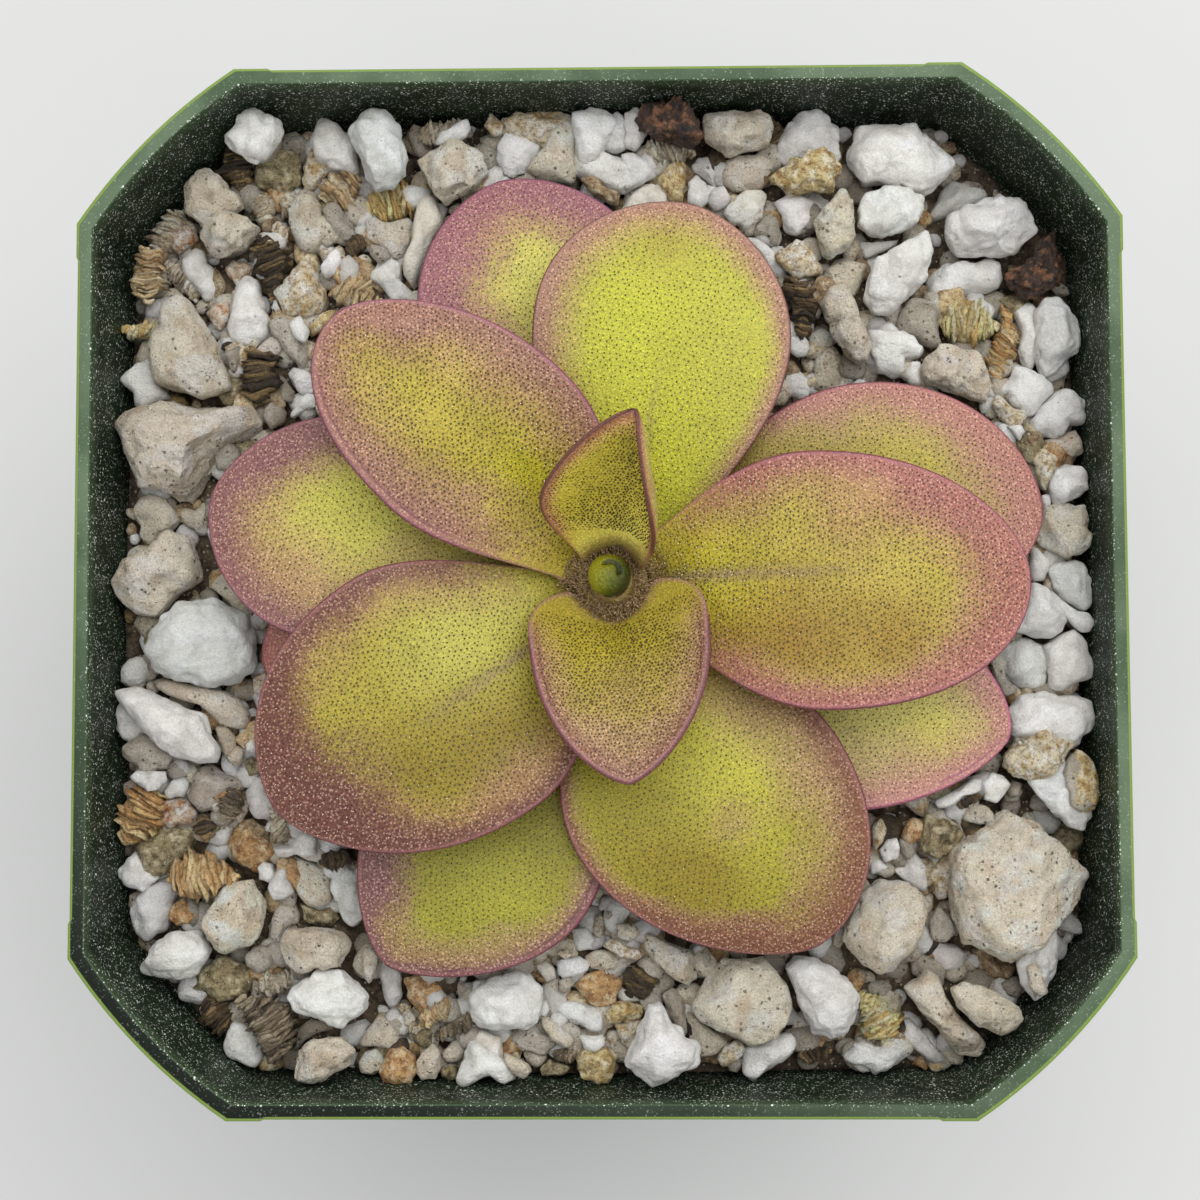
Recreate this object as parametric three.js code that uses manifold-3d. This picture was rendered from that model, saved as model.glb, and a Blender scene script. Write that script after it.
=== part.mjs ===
// A Mexican butterwort in a square nursery pot: thirteen sticky leaves in a flat rosette on a short
// rooted stem, planted in a gritty mix of pumice, perlite, vermiculite and a little bark.
// Millimetres, +Z up. The origin is the middle of the pot's foot. Pieces that touch keep a small gap.
import * as THREE from "three";
import { mergeVertices } from "three/addons/utils/BufferGeometryUtils.js";
import Module from "manifold-3d";

const wasm = await Module();
wasm.setup();

// ---- driving dimensions -------------------------------------------------------------------------

const GAP = 0.35; // air between pieces that rest on each other

const RIM_HALF = 38; // half the width across the pot's flat sides, at the rim
const RIM_HEIGHT = 70;
const CORNER_CUT = 11.4; // how far each corner is cut back along both sides, at the rim
const CORNER_BOW = 0.8; // the cut corners bulge outward by this much
const COLLAR_FOOT = 59.2; // the collar below the rim steps out here
const BODY_TOP_HALF = 36.6; // half width of the tapered body just under the collar
const FOOT_HALF = 28;
const WALL = 1;
const LIP = 1.25; // width of the rim, its rounded outer edge included
const EDGE = 0.3; // size of that rounded edge
const FLAT_INSET = 0.2; // the flat sides lie this far inside the corner pieces,
const CORNER_REACH = 2.6; // which reach this far along the sides from the cut corners
const FLOOR = [2.2, 3.2]; // underside and top of the pot's floor
const FOOT_WIDTH = 1.5; // of the standing edge around the floor
const DRAIN_HOLES = [ // x, y, radius
  [0, 0, 3.6], [14, 14, 3.4], [-14, 14, 3.4], [14, -14, 3.4], [-14, -14, 3.4],
];
const FOOT_NOTCH = [9, 1.6]; // width and height of the notch in the middle of each side's foot

const MIX_LEVEL = 63.7; // surface of the fine mix along the pot's sides, between the large grains
const MIX_CORNER_DROP = 3; // how much lower it lies in the corners
const MIX_HOLLOW = 2.2; // dip around the stem
const MIX_HOLLOW_RADIUS = 13;
const MIX_UNEVENNESS = 0.5; // random rise and fall of its surface

const CROWN = [0.95, 0.2]; // x and y of the rosette's centre
const STEM_RADIUS = 1.85;
const STEM_TOP = 70.3;
const STEM_FOOT = 57;
const ROOTS = 6;
const BUD_RADIUS = 1.6;
const BUD_OFFSET = [-0.15, 0.3]; // the bud sits this far from the stem's axis
const BUD_SLIT = [2.6, 0.3, 1.5]; // length, width and depth of the cut along its rolled edge

const LEAF_START = 2.5; // leaves begin this far from the stem's axis
const LEAF_BASE_HALF = 2.1; // half width of a leaf where it clasps the stem
const LEAF_THICKNESS = 1.1; // in the middle; a leaf thins toward its base, tip and margins

// The leaves, youngest and highest first; each stands about 137.5 degrees on from the one before.
// az: direction from the stem; left, right: widest half widths; widest: where, as a share of the length;
// bend: sideways drift of the tip, as a share of the length; tip: exponents that round or point the tip;
// z: height at the stem; rise: slope at base and tip; fold: how steep the margins are at base and tip.
const LEAVES = [
  { az: 80, length: 15.1, left: 6.0, right: 4.1, widest: 0.51, bend: 0.01, tip: [1.65, 1.5], z: 70.1,
    rise: [72, 42], fold: [30, 45], foldRight: [50, 150] },
  { az: 278, length: 14.2, left: 6.9, right: 6.8, widest: 0.22, bend: -0.05, tip: [2.3, 1.4], z: 69.6,
    rise: [50, 14], fold: [45, 25] },
  { az: 125, length: 25.2, left: 8.8, right: 6.8, widest: 0.48, bend: 0.19, tip: [2.15, 1.75], z: 68.95,
    rise: [38.5, -9], fold: [22, -4] },
  { az: 3, length: 28.1, left: 8.4, right: 9.7, widest: 0.47, bend: -0.06, tip: [2.1, 1.95], z: 68.4,
    rise: [38, -12], fold: [20, -6] },
  { az: 220, length: 27.5, left: 9.4, right: 11.2, widest: 0.47, bend: -0.1, tip: [2.15, 1.7], z: 67.85,
    rise: [36, -20], fold: [18, -12] },
  { az: 75.5, length: 26.2, left: 9.7, right: 8.8, widest: 0.63, bend: 0.04, tip: [1.95, 1.8], z: 67.3,
    rise: [33, -14], fold: [18, -4] },
  { az: 291.5, length: 28.3, left: 9.8, right: 10.5, widest: 0.54, bend: 0.13, tip: [2.0, 1.75], z: 66.75,
    rise: [31, -24], fold: [16, -14] },
  { az: 165, length: 28.1, left: 9.0, right: 7.6, widest: 0.62, bend: 0.05, tip: [2.1, 1.7], z: 66.2,
    rise: [29, -16], fold: [16, -4] },
  { az: 12, length: 30.0, left: 10.5, right: 7.3, widest: 0.58, bend: -0.02, tip: [1.95, 2.0], z: 65.7,
    rise: [27, -16], fold: [16, -6] },
  { az: 240, length: 30.3, left: 10.3, right: 7.0, widest: 0.64, bend: -0.01, tip: [1.85, 1.5], z: 65.2,
    rise: [25, -16], fold: [16, -6] },
  { az: 104, length: 29.4, left: 8.8, right: 9.0, widest: 0.64, bend: 0.02, tip: [2.0, 1.75], z: 64.75,
    rise: [23, -16], fold: [14, -4] },
  { az: 332, length: 28.8, left: 7.2, right: 9.1, widest: 0.6, bend: 0.12, tip: [1.7, 1.6], z: 64.3,
    rise: [21, -12], fold: [14, 0] },
  { az: 190.5, length: 24.4, left: 4.9, right: 5.9, widest: 0.66, bend: 0.03, tip: [2.0, 1.8], z: 63.85,
    rise: [19, -12], fold: [12, 0] },
];

// The largest grains on the surface: x, y and z of the middle, length, breadth, turn in degrees, and any
// lobes as [direction, how far out, sharpness]. The smaller grains are part of the mix.
const PUMICE = [
  [30, -21.5, 64.6, 10.4, 11.1, 0, [[200, 0.12, 3], [20, 0.1, 4]]],
  [-30.4, 11.1, 64.2, 11, 8, 0, [[20, 0.15, 4], [150, 0.1, 4]]],
  [-30.9, 18.9, 64.6, 6.3, 7.7, 0, [[110, 0.5, 5], [-40, 0.3, 4], [215, 0.25, 4]]],
  [10.3, -29.9, 65.4, 7.5, 6.6, 0, [[75, 0.2, 4], [-20, 0.2, 4]]],
  [21.3, -24.7, 65.2, 6.3, 7.1, 0, []],
  [-32.6, 1.3, 64.9, 6.6, 6, 15, [[70, 0.25, 5]]],
  [24.9, -31.4, 63.6, 7.4, 3.6, -48, []],
  [28.6, -30.7, 65.6, 5.2, 3.2, -20, []],
  [-10.6, 32.1, 65.3, 5.6, 4.7, 0, [[200, 0.2, 4]]],
  [-29.6, 30, 64, 4.4, 3.6, -25, []],
  [-27.4, 26.2, 64.2, 4.8, 3.5, 0, []],
  [-26.6, -24.4, 64.6, 5.1, 5, 20, [[60, 0.25, 4]]],
  [10.5, 34, 65.2, 5.4, 3.5, 0, []],
  [17.4, 26.7, 64.8, 3.1, 5.3, 0, []],
  [18.3, 19.6, 65.2, 3.1, 6.3, 20, []],
  [26.3, 16.5, 65, 5.2, 4.3, 0, []],
  [33.9, 4, 65.2, 4.2, 4.2, 0, []],
  [-20.4, -34.1, 65, 4.5, 3.4, 0, []],
  [-21, -25.9, 65, 5.3, 3.3, 0, []],
  [4.8, -27.3, 64.9, 4.6, 3.2, -40, []],
];
const PERLITE = [
  [-29.5, -4.7, 65, 8.2, 6.4, 0, [[40, 0.15, 4]]],
  [-31.2, -10.6, 65, 9.4, 3.2, -33, []],
  [22.6, 32.9, 64, 8.2, 5, -10, []],
  [29.5, 27.4, 63.8, 7, 4.7, -8, []],
  [22.1, 28, 64.8, 5, 3.9, 0, []],
  [22.4, 22.7, 65, 6.8, 3.9, 56, []],
  [-16.7, 33.1, 65.6, 4.3, 5.8, 0, [[-60, 0.2, 4]]],
  [-25.6, 33.7, 65.8, 4.6, 4, 0, []],
  [-31.6, -27, 63.6, 5.4, 3.8, 0, []],
  [-20.1, -30.1, 64.9, 5.9, 4, 0, []],
  [-7, -30.2, 65.1, 5.4, 4.2, 0, []],
  [4.2, -33, 66.4, 5.5, 6.3, 0, [[90, 0.45, 5], [-15, 0.25, 4], [200, 0.2, 4]]],
  [16.8, -30.4, 65.2, 5.4, 6, 0, [[120, 0.2, 5]]],
  [31.8, -28.8, 64.2, 2.5, 3.3, 12, [[-100, 0.4, 4]]],
  [34.4, -14.5, 64.8, 3.2, 3.2, 0, []],
  [32.8, -2.2, 65, 4.1, 4, 0, []],
];
const VERMICULITE = [ // x, y, z, breadth across the plates, height of the stack, turn, number of plates
  [-33.3, 25.1, 64, 3.1, 4.2, 0, 8],
  [-30, -20.7, 64.8, 3.6, 4.4, -70, 7],
  [-25.6, -31.9, 64, 3.8, 4, 25, 8],
];
const CRUMBS = [ // puffed vermiculite without clear plates
  [31.8, -10.8, 65, 4.6, 4.4, 0, []],
  [15.6, 31.1, 65.4, 5.6, 2.9, -5, []],
];
const BARK = [
  [4.9, 34.3, 66.4, 4.4, 3.4, 0, []],
  [33.7, 23.4, 63.6, 4.1, 4.8, 0, []],
];
const GRAIN_FLATNESS = 0.72; // height of a grain as a share of its mean width

// ---- small tools --------------------------------------------------------------------------------

const rad = THREE.MathUtils.degToRad;

// Repeatable random numbers from 0 to 1.
function randomFrom(seed) {
  let a = seed >>> 0;
  return () => {
    a = (a + 0x6d2b79f5) >>> 0;
    let t = Math.imul(a ^ (a >>> 15), 1 | a);
    t = (t + Math.imul(t ^ (t >>> 7), 61 | t)) ^ t;
    return ((t ^ (t >>> 14)) >>> 0) / 4294967296;
  };
}

function geometryFrom(points, faces) {
  const g = new THREE.BufferGeometry();
  g.setAttribute("position", new THREE.Float32BufferAttribute(points.flat(), 3));
  g.setIndex(faces.flat());
  g.computeVertexNormals();
  return g;
}

function toSolid(geometry, matrix) {
  const bare = geometry.clone();
  bare.deleteAttribute("normal");
  bare.deleteAttribute("uv");
  if (matrix) bare.applyMatrix4(matrix);
  const merged = mergeVertices(bare, 1e-4);
  return new wasm.Manifold(new wasm.Mesh({
    numProp: 3,
    vertProperties: new Float32Array(merged.attributes.position.array),
    triVerts: new Uint32Array(merged.index.array),
  }));
}

function toGeometry(solid) {
  const m = solid.getMesh();
  const g = new THREE.BufferGeometry();
  g.setAttribute("position", new THREE.Float32BufferAttribute(m.vertProperties, 3));
  g.setIndex([...m.triVerts]);
  const flat = g.toNonIndexed();
  flat.computeVertexNormals();
  return flat;
}

// A closed solid through rings of points that all turn the same way, closed at both ends from the middle.
function loft(rings) {
  const n = rings[0].length;
  const points = rings.flat();
  const faces = [];
  rings.slice(1).forEach((_, r) => {
    for (let i = 0; i < n; i++) {
      const a = r * n + i, b = r * n + ((i + 1) % n);
      faces.push([a, b, b + n], [a, b + n, a + n]);
    }
  });
  for (const [ring, start, up] of [[rings[0], 0, false], [rings.at(-1), (rings.length - 1) * n, true]]) {
    const middle = points.length;
    points.push([0, 1, 2].map((k) => ring.reduce((sum, p) => sum + p[k], 0) / n));
    for (let i = 0; i < n; i++) {
      const a = start + i, b = start + ((i + 1) % n);
      faces.push(up ? [a, b, middle] : [b, a, middle]);
    }
  }
  return geometryFrom(points, faces);
}

// A round tapering tube along a curve.
function taperedTube(curve, radiusAt, steps, sides) {
  const frames = curve.computeFrenetFrames(steps, false);
  const rings = [];
  for (let i = 0; i <= steps; i++) {
    const p = curve.getPointAt(i / steps), r = radiusAt(i / steps);
    rings.push(Array.from({ length: sides }, (_, k) => {
      const a = (k / sides) * 2 * Math.PI;
      const out = frames.normals[i].clone().multiplyScalar(r * Math.cos(a))
        .addScaledVector(frames.binormals[i], r * Math.sin(a));
      return p.clone().add(out).toArray();
    }));
  }
  return loft(rings);
}

function material(color, roughness, flatShading = false) {
  return new THREE.MeshStandardMaterial({ color, roughness, metalness: 0, flatShading });
}

function named(name, geometry, look) {
  const mesh = new THREE.Mesh(geometry, look);
  mesh.name = name;
  return mesh;
}

const numbered = (kind, i) => kind + "_" + String(i + 1).padStart(2, "0");

// ---- pot ----------------------------------------------------------------------------------------

// One turn around the pot at a height: straight sides, and cut corners that bulge a little.
function potRing(half, z, cut = (CORNER_CUT * half) / RIM_HALF, step = FLAT_INSET) {
  const steps = 5;
  const bow = (CORNER_BOW * half) / RIM_HALF;
  const ring = [];
  for (let quarter = 0; quarter < 4; quarter++) {
    const turn = (quarter * Math.PI) / 2;
    const end = half - cut - CORNER_REACH;
    const corner = [[half - step, end], [half, end]];
    for (let i = 0; i <= steps; i++) {
      const k = i / steps;
      const out = (bow * (1 - (2 * k - 1) ** 2)) / Math.SQRT2;
      corner.push([half - cut * k + out, half - cut * (1 - k) + out]);
    }
    corner.push([end, half], [end, half - step]);
    for (const [x, y] of corner)
      ring.push([x * Math.cos(turn) - y * Math.sin(turn), x * Math.sin(turn) + y * Math.cos(turn), z]);
  }
  return ring;
}

// The same ring moved inward by a distance, with its corner cut kept parallel and its sides plain.
const insetRing = (half, z, by) => {
  const cut = (CORNER_CUT * half) / RIM_HALF - (2 - Math.SQRT2) * by;
  return potRing(half - by, z, cut, 0);
};

const bodyHalf = (z) => FOOT_HALF + ((BODY_TOP_HALF - FOOT_HALF) * z) / COLLAR_FOOT;

const potOutside = [
  potRing(bodyHalf(0) - 0.3, 0), potRing(bodyHalf(0.5), 0.5), potRing(BODY_TOP_HALF, COLLAR_FOOT),
  potRing(RIM_HALF - 0.5, COLLAR_FOOT + 0.8), potRing(RIM_HALF, RIM_HEIGHT - EDGE - 0.05),
  potRing(RIM_HALF - EDGE / 3, RIM_HEIGHT - EDGE / 3), potRing(RIM_HALF - EDGE, RIM_HEIGHT),
];
const potInside = (gap) => [
  insetRing(bodyHalf(FLOOR[1]), FLOOR[1] + gap, WALL + gap),
  insetRing(BODY_TOP_HALF, COLLAR_FOOT, WALL + 0.1 + gap),
  insetRing(RIM_HALF, COLLAR_FOOT + 1, 2 + gap),
  insetRing(RIM_HALF, RIM_HEIGHT, LIP + gap),
  insetRing(RIM_HALF, RIM_HEIGHT + 1, LIP + gap),
];

function makePot() {
  let pot = toSolid(loft(potOutside)).subtract(toSolid(loft(potInside(0))));
  const inner = FOOT_HALF - FOOT_WIDTH;
  const recess = loft([potRing(inner - 0.3, -1), potRing(inner, FLOOR[0])]);
  pot = pot.subtract(toSolid(recess));
  for (const [x, y, r] of DRAIN_HOLES) {
    const hole = new THREE.CylinderGeometry(r, r, 4, 16).rotateX(Math.PI / 2);
    pot = pot.subtract(toSolid(hole.translate(x, y, FLOOR[0])));
  }
  for (const turn of [0, 90]) {
    const notch = new THREE.BoxGeometry(FOOT_NOTCH[0], 3 * FOOT_HALF, 2 * FOOT_NOTCH[1]);
    pot = pot.subtract(toSolid(notch.rotateZ(rad(turn))));
  }
  return named("pot", toGeometry(pot), material(0x2f4136, 0.55, true));
}

// ---- grains -------------------------------------------------------------------------------------

// An angular lump that fills its length, breadth and height.
function lump(length, breadth, lobes, random, blockiness) {
  const ball = new THREE.IcosahedronGeometry(1, 1);
  ball.deleteAttribute("normal");
  ball.deleteAttribute("uv");
  const g = mergeVertices(ball, 1e-4);
  const p = g.attributes.position;
  const d = new THREE.Vector3();
  for (let i = 0; i < p.count; i++) {
    d.fromBufferAttribute(p, i).normalize();
    const even = d.toArray().reduce((sum, c) => sum + Math.abs(c) ** blockiness, 0);
    let r = even ** (-1 / blockiness) * (0.9 + 0.2 * random());
    const flat = Math.hypot(d.x, d.y);
    for (const [at, amount, sharpness] of lobes)
      r *= 1 + amount * flat * Math.max(0, Math.cos(Math.atan2(d.y, d.x) - rad(at))) ** sharpness;
    p.setXYZ(i, d.x * r, d.y * r, d.z * r);
  }
  g.computeBoundingBox();
  const size = g.boundingBox.getSize(new THREE.Vector3());
  const middle = g.boundingBox.getCenter(new THREE.Vector3());
  g.translate(-middle.x, -middle.y, -middle.z);
  const height = (GRAIN_FLATNESS * (length + breadth)) / 2;
  g.scale(length / size.x, breadth / size.y, height / size.z);
  const flat = g.toNonIndexed();
  flat.computeVertexNormals();
  return flat;
}

// A popped vermiculite grain: a short concertina of plates.
function concertina(breadth, stack, plates) {
  const height = GRAIN_FLATNESS * breadth;
  const pitch = stack / plates;
  const edge = [];
  for (let i = 0; i <= plates; i++) {
    const y = -stack / 2 + i * pitch;
    const crown = (height / 2) * (1 - 0.3 * ((2 * y) / stack) ** 2);
    edge.push([y, crown]);
    if (i < plates) edge.push([y + pitch / 2, crown - 0.3]);
  }
  const shape = new THREE.Shape([
    ...edge.map(([y, z]) => new THREE.Vector2(y, z)),
    ...edge.slice().reverse().map(([y, z]) => new THREE.Vector2(y, -z)),
  ]);
  const g = new THREE.ExtrudeGeometry(shape, { depth: breadth, bevelEnabled: false });
  return g.translate(0, 0, -breadth / 2).rotateX(Math.PI / 2).rotateZ(Math.PI / 2);
}

const grains = new THREE.Group();
const sockets = []; // the hollows that the grains sit in

function addGrain(name, geometry, x, y, z, turn, look) {
  const grain = named(name, geometry, look);
  grain.position.set(x, y, z);
  grain.rotation.z = rad(turn);
  grains.add(grain);
  grain.updateMatrix();
  geometry.computeBoundingBox();
  const size = geometry.boundingBox.getSize(new THREE.Vector3());
  const grow = 1 + (2 * GAP + 0.2) / Math.min(size.x, size.y, size.z);
  sockets.push(toSolid(geometry.clone().scale(grow, grow, grow), grain.matrix));
}

const random = randomFrom(11);
const LUMPS = [
  ["pumice", PUMICE, 2.5, 0xcfc8ba, 0.95],
  ["perlite", PERLITE, 2.3, 0xe9e8e6, 0.9],
  ["crumb", CRUMBS, 2.4, 0xc2a878, 0.6],
  ["bark", BARK, 2.8, 0x3b2a1c, 0.85],
];
for (const [kind, list, blockiness, color, roughness] of LUMPS) {
  const look = material(color, roughness, true);
  list.forEach(([x, y, z, length, breadth, turn, lobes], i) =>
    addGrain(numbered(kind, i), lump(length, breadth, lobes, random, blockiness), x, y, z, turn, look));
}
const vermiculiteLook = material(0x9a7d52, 0.45, true);
VERMICULITE.forEach(([x, y, z, breadth, stack, turn, plates], i) =>
  addGrain(numbered("vermiculite", i), concertina(breadth, stack, plates), x, y, z, turn, vermiculiteLook));

// ---- stem and roots -----------------------------------------------------------------------------

// The stem is widest at the crown and narrows below ground; its roots leave it sideways and dive.
function stemProfile(extra) {
  const r = STEM_RADIUS + extra;
  return new THREE.LatheGeometry([
    [0, STEM_FOOT - extra], [0.55 * r, STEM_FOOT + 0.3 - extra], [0.8 * r, STEM_FOOT + 1.5],
    [0.95 * r, STEM_FOOT + 4], [r, STEM_FOOT + 7], [r, STEM_TOP - 0.7], [0.7 * r, STEM_TOP - 0.15 + extra],
    [0, STEM_TOP + extra],
  ].map(([x, z]) => new THREE.Vector2(x, z)), 16).rotateX(Math.PI / 2);
}

function root(i, extra) {
  const turn = new THREE.Matrix4().makeRotationZ(((i + 0.35) / ROOTS) * 2 * Math.PI);
  const reach = [19, 15, 22, 16, 20, 14][i % 6];
  const z = STEM_FOOT + 1.7 + 0.9 * (i % 2);
  const curve = new THREE.CatmullRomCurve3([
    [0.4, 0, z + 0.2], [4, 0.6, z - 1.4], [0.45 * reach, 1.8, z - 7],
    [0.75 * reach, -0.8, z - 16], [reach + extra, 1.2, z - 27 - extra],
  ].map((p) => new THREE.Vector3(...p).applyMatrix4(turn)));
  return taperedTube(curve, (k) => 0.75 - 0.42 * k + 1.6 * extra, 12, 6);
}

function rootedStem(extra) {
  let stem = toSolid(stemProfile(extra));
  for (let i = 0; i < ROOTS; i++) stem = stem.add(toSolid(root(i, extra)));
  return stem;
}

const crownPlace = new THREE.Matrix4().makeTranslation(CROWN[0], CROWN[1], 0);

// ---- growing mix --------------------------------------------------------------------------------

function mixHeight(x, y, random) {
  const corner = THREE.MathUtils.clamp((Math.abs(x) + Math.abs(y) - 42) / 22, 0, 1);
  const fromCrown = Math.hypot(x - CROWN[0], y - CROWN[1]);
  const hollow = Math.exp(-((fromCrown / MIX_HOLLOW_RADIUS) ** 2));
  const bump = MIX_UNEVENNESS * (random() - 0.5);
  return MIX_LEVEL - MIX_CORNER_DROP * corner - MIX_HOLLOW * hollow + bump;
}

function makeMix() {
  const cells = 26, half = 39;
  const random = randomFrom(5);
  const top = new THREE.PlaneGeometry(2 * half, 2 * half, cells, cells);
  top.deleteAttribute("normal");
  top.deleteAttribute("uv");
  const p = top.attributes.position;
  const points = [];
  for (let i = 0; i < p.count; i++)
    points.push([p.getX(i), p.getY(i), mixHeight(p.getX(i), p.getY(i), random)]);
  const faces = [];
  for (let i = 0; i < top.index.count; i += 3)
    faces.push([top.index.getX(i), top.index.getX(i + 1), top.index.getX(i + 2)]);
  // walk round the border of the grid and close the sides and the bottom
  const n = cells + 1;
  const border = [];
  for (let i = 0; i < cells; i++) border.push(i);
  for (let i = 0; i < cells; i++) border.push(i * n + cells);
  for (let i = cells; i > 0; i--) border.push(cells * n + i);
  for (let i = cells; i > 0; i--) border.push(i * n);
  const low = border.map((i) => points.push([points[i][0], points[i][1], 0]) - 1);
  const middle = points.push([0, 0, 0]) - 1;
  border.forEach((a, k) => {
    const b = border[(k + 1) % border.length], c = low[k], d = low[(k + 1) % low.length];
    faces.push([a, b, d], [a, d, c], [c, d, middle]);
  });
  let mix = toSolid(geometryFrom(points, faces)).intersect(toSolid(loft(potInside(GAP))));
  for (const socket of sockets) mix = mix.subtract(socket);
  mix = mix.subtract(rootedStem(GAP).transform([...crownPlace.elements]));
  return named("growing_mix", toGeometry(mix), material(0x8c8170, 0.95, true));
}

// ---- leaves -------------------------------------------------------------------------------------

// Half width of a leaf at t, from 0 at the stem to 1 at the tip.
function halfWidth(leaf, t, widest) {
  const base = LEAF_BASE_HALF / widest;
  if (t <= leaf.widest)
    return widest * (base + (1 - base) * Math.sin((Math.PI / 2) * (t / leaf.widest)) ** 1.15);
  const out = (t - leaf.widest) / (1 - leaf.widest);
  return widest * Math.max(0, 1 - out ** leaf.tip[0]) ** (1 / leaf.tip[1]);
}

// A point in the middle of the leaf's thickness, in the leaf's frame: x away from the stem, y left, z up.
// s goes from -1 at the right margin to 1 at the left margin.
function leafPoint(leaf, t, s) {
  const [low, high] = leaf.rise.map(rad);
  const slope = low + (high - low) * t;
  const left = s > 0;
  const w = halfWidth(leaf, t, left ? leaf.left : leaf.right);
  const fold = left ? leaf.fold : leaf.foldRight ?? leaf.fold;
  const curl = rad(fold[0] + (fold[1] - fold[0]) * t) || 1e-3;
  const a = Math.abs(s);
  let across = (w * Math.sin(curl * a)) / curl;
  const lift = (w * (1 - Math.cos(curl * a))) / curl;
  const clasp = Math.min(Math.abs(across), 0.9 * LEAF_START);
  let out = LEAF_START + (leaf.length * (Math.sin(slope) - Math.sin(low))) / (high - low);
  let up = (leaf.length * (Math.cos(low) - Math.cos(slope))) / (high - low);
  out -= Math.sin(slope) * lift;
  up += Math.cos(slope) * lift;
  out -= (LEAF_START - Math.sqrt(LEAF_START ** 2 - clasp ** 2)) * (1 - t) ** 8;
  if (!left) across = -across;
  return new THREE.Vector3(out, across + leaf.bend * leaf.length * t * t, up);
}

function leafNormal(leaf, t, s) {
  const t0 = Math.max(0, t - 0.01), t1 = Math.min(0.985, t + 0.01);
  const s0 = Math.max(-1, s - 0.02), s1 = Math.min(1, s + 0.02);
  const along = leafPoint(leaf, t1, s).sub(leafPoint(leaf, t0, s));
  const across = leafPoint(leaf, t, s1).sub(leafPoint(leaf, t, s0));
  return along.cross(across).normalize();
}

function leafGeometry(leaf) {
  const inner = 6, outer = 6;
  const rows = [
    ...Array.from({ length: inner }, (_, i) => (leaf.widest * i) / inner),
    ...Array.from({ length: outer }, (_, i) =>
      leaf.widest + (1 - leaf.widest) * Math.sin((Math.PI / 2) * (i / outer))),
  ];
  const columns = [-1, -0.75, -0.4, 0, 0.4, 0.75, 1];
  const last = columns.length - 1;
  const points = [], upper = [], lower = [];
  for (const t of rows) {
    upper.push([]);
    lower.push([]);
    columns.forEach((s, j) => {
      const middle = leafPoint(leaf, t, s);
      const thick = LEAF_THICKNESS * (t < 0.35 ? 0.6 + 1.14 * t : 1.22 - 0.62 * t) * Math.sqrt(1 - s * s);
      if (j === 0 || j === last) {
        const i = points.push(middle.toArray()) - 1;
        upper.at(-1).push(i);
        lower.at(-1).push(i);
        return;
      }
      const n = leafNormal(leaf, t, s).multiplyScalar(thick / 2);
      upper.at(-1).push(points.push(middle.clone().add(n).toArray()) - 1);
      lower.at(-1).push(points.push(middle.clone().sub(n).toArray()) - 1);
    });
  }
  const tip = points.push(leafPoint(leaf, 1, 0).toArray()) - 1;
  const faces = [];
  const tile = (a, b, c, d) => {
    if (a !== b && b !== c && a !== c) faces.push([a, b, c]);
    if (a !== c && c !== d && a !== d) faces.push([a, c, d]);
  };
  for (let j = 0; j < last; j++) {
    for (let i = 0; i < rows.length - 1; i++) {
      tile(upper[i][j], upper[i + 1][j], upper[i + 1][j + 1], upper[i][j + 1]);
      tile(lower[i][j + 1], lower[i + 1][j + 1], lower[i + 1][j], lower[i][j]);
    }
    faces.push([upper.at(-1)[j], tip, upper.at(-1)[j + 1]], [lower.at(-1)[j + 1], tip, lower.at(-1)[j]]);
    tile(lower[0][j], upper[0][j], upper[0][j + 1], lower[0][j + 1]);
  }
  return geometryFrom(points, faces);
}

// Young leaves are green to lime; the old ones around them have turned mauve.
const LEAF_COLORS = [0x8f8a34, 0x9a8f3c, 0x9a8a45, 0xa79a48, 0x93853c, 0xb4bb4c, 0xa39a40];
const OLD_LEAF = 0xa88a62;

const rosette = new THREE.Group();
rosette.position.set(CROWN[0], CROWN[1], 0);

LEAVES.forEach((leaf, i) => {
  const mesh = named(numbered("leaf", i), leafGeometry(leaf), material(LEAF_COLORS[i] ?? OLD_LEAF, 0.4));
  mesh.position.z = leaf.z;
  mesh.rotation.z = rad(leaf.az);
  rosette.add(mesh);
});

// The next leaf, still rolled up: a small ball with the rolled edge as a slit across it.
function makeBud() {
  const ball = new THREE.SphereGeometry(BUD_RADIUS, 14, 10).rotateX(Math.PI / 2);
  const slit = new THREE.BoxGeometry(...BUD_SLIT).rotateX(rad(25)).rotateZ(rad(-25));
  const rolled = toSolid(ball).subtract(toSolid(slit.translate(0.5, 0.5, BUD_RADIUS)));
  const bud = named("crown_bud", toGeometry(rolled), material(0x8fa62f, 0.4));
  bud.position.set(...BUD_OFFSET, STEM_TOP + GAP + BUD_RADIUS);
  return bud;
}

rosette.add(named("stem_with_roots", toGeometry(rootedStem(0)), material(0x9a8a5a, 0.7)));
rosette.add(makeBud());

// ---- the whole ----------------------------------------------------------------------------------

const butterwort = new THREE.Group();
butterwort.name = "butterwort_in_pot";
butterwort.add(makePot(), makeMix(), grains, rosette);

export default butterwort;
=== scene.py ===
"""A Mexican butterwort in a square nursery pot, seen from straight above.

The leaves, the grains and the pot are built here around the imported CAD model: fleshy leaves with rolled
margins and stalked glands, porous and layered mineral grains, and a moulded plastic pot.
Lengths in this script are millimetres, and add_piece turns them into metres.
"""
import math

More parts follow.
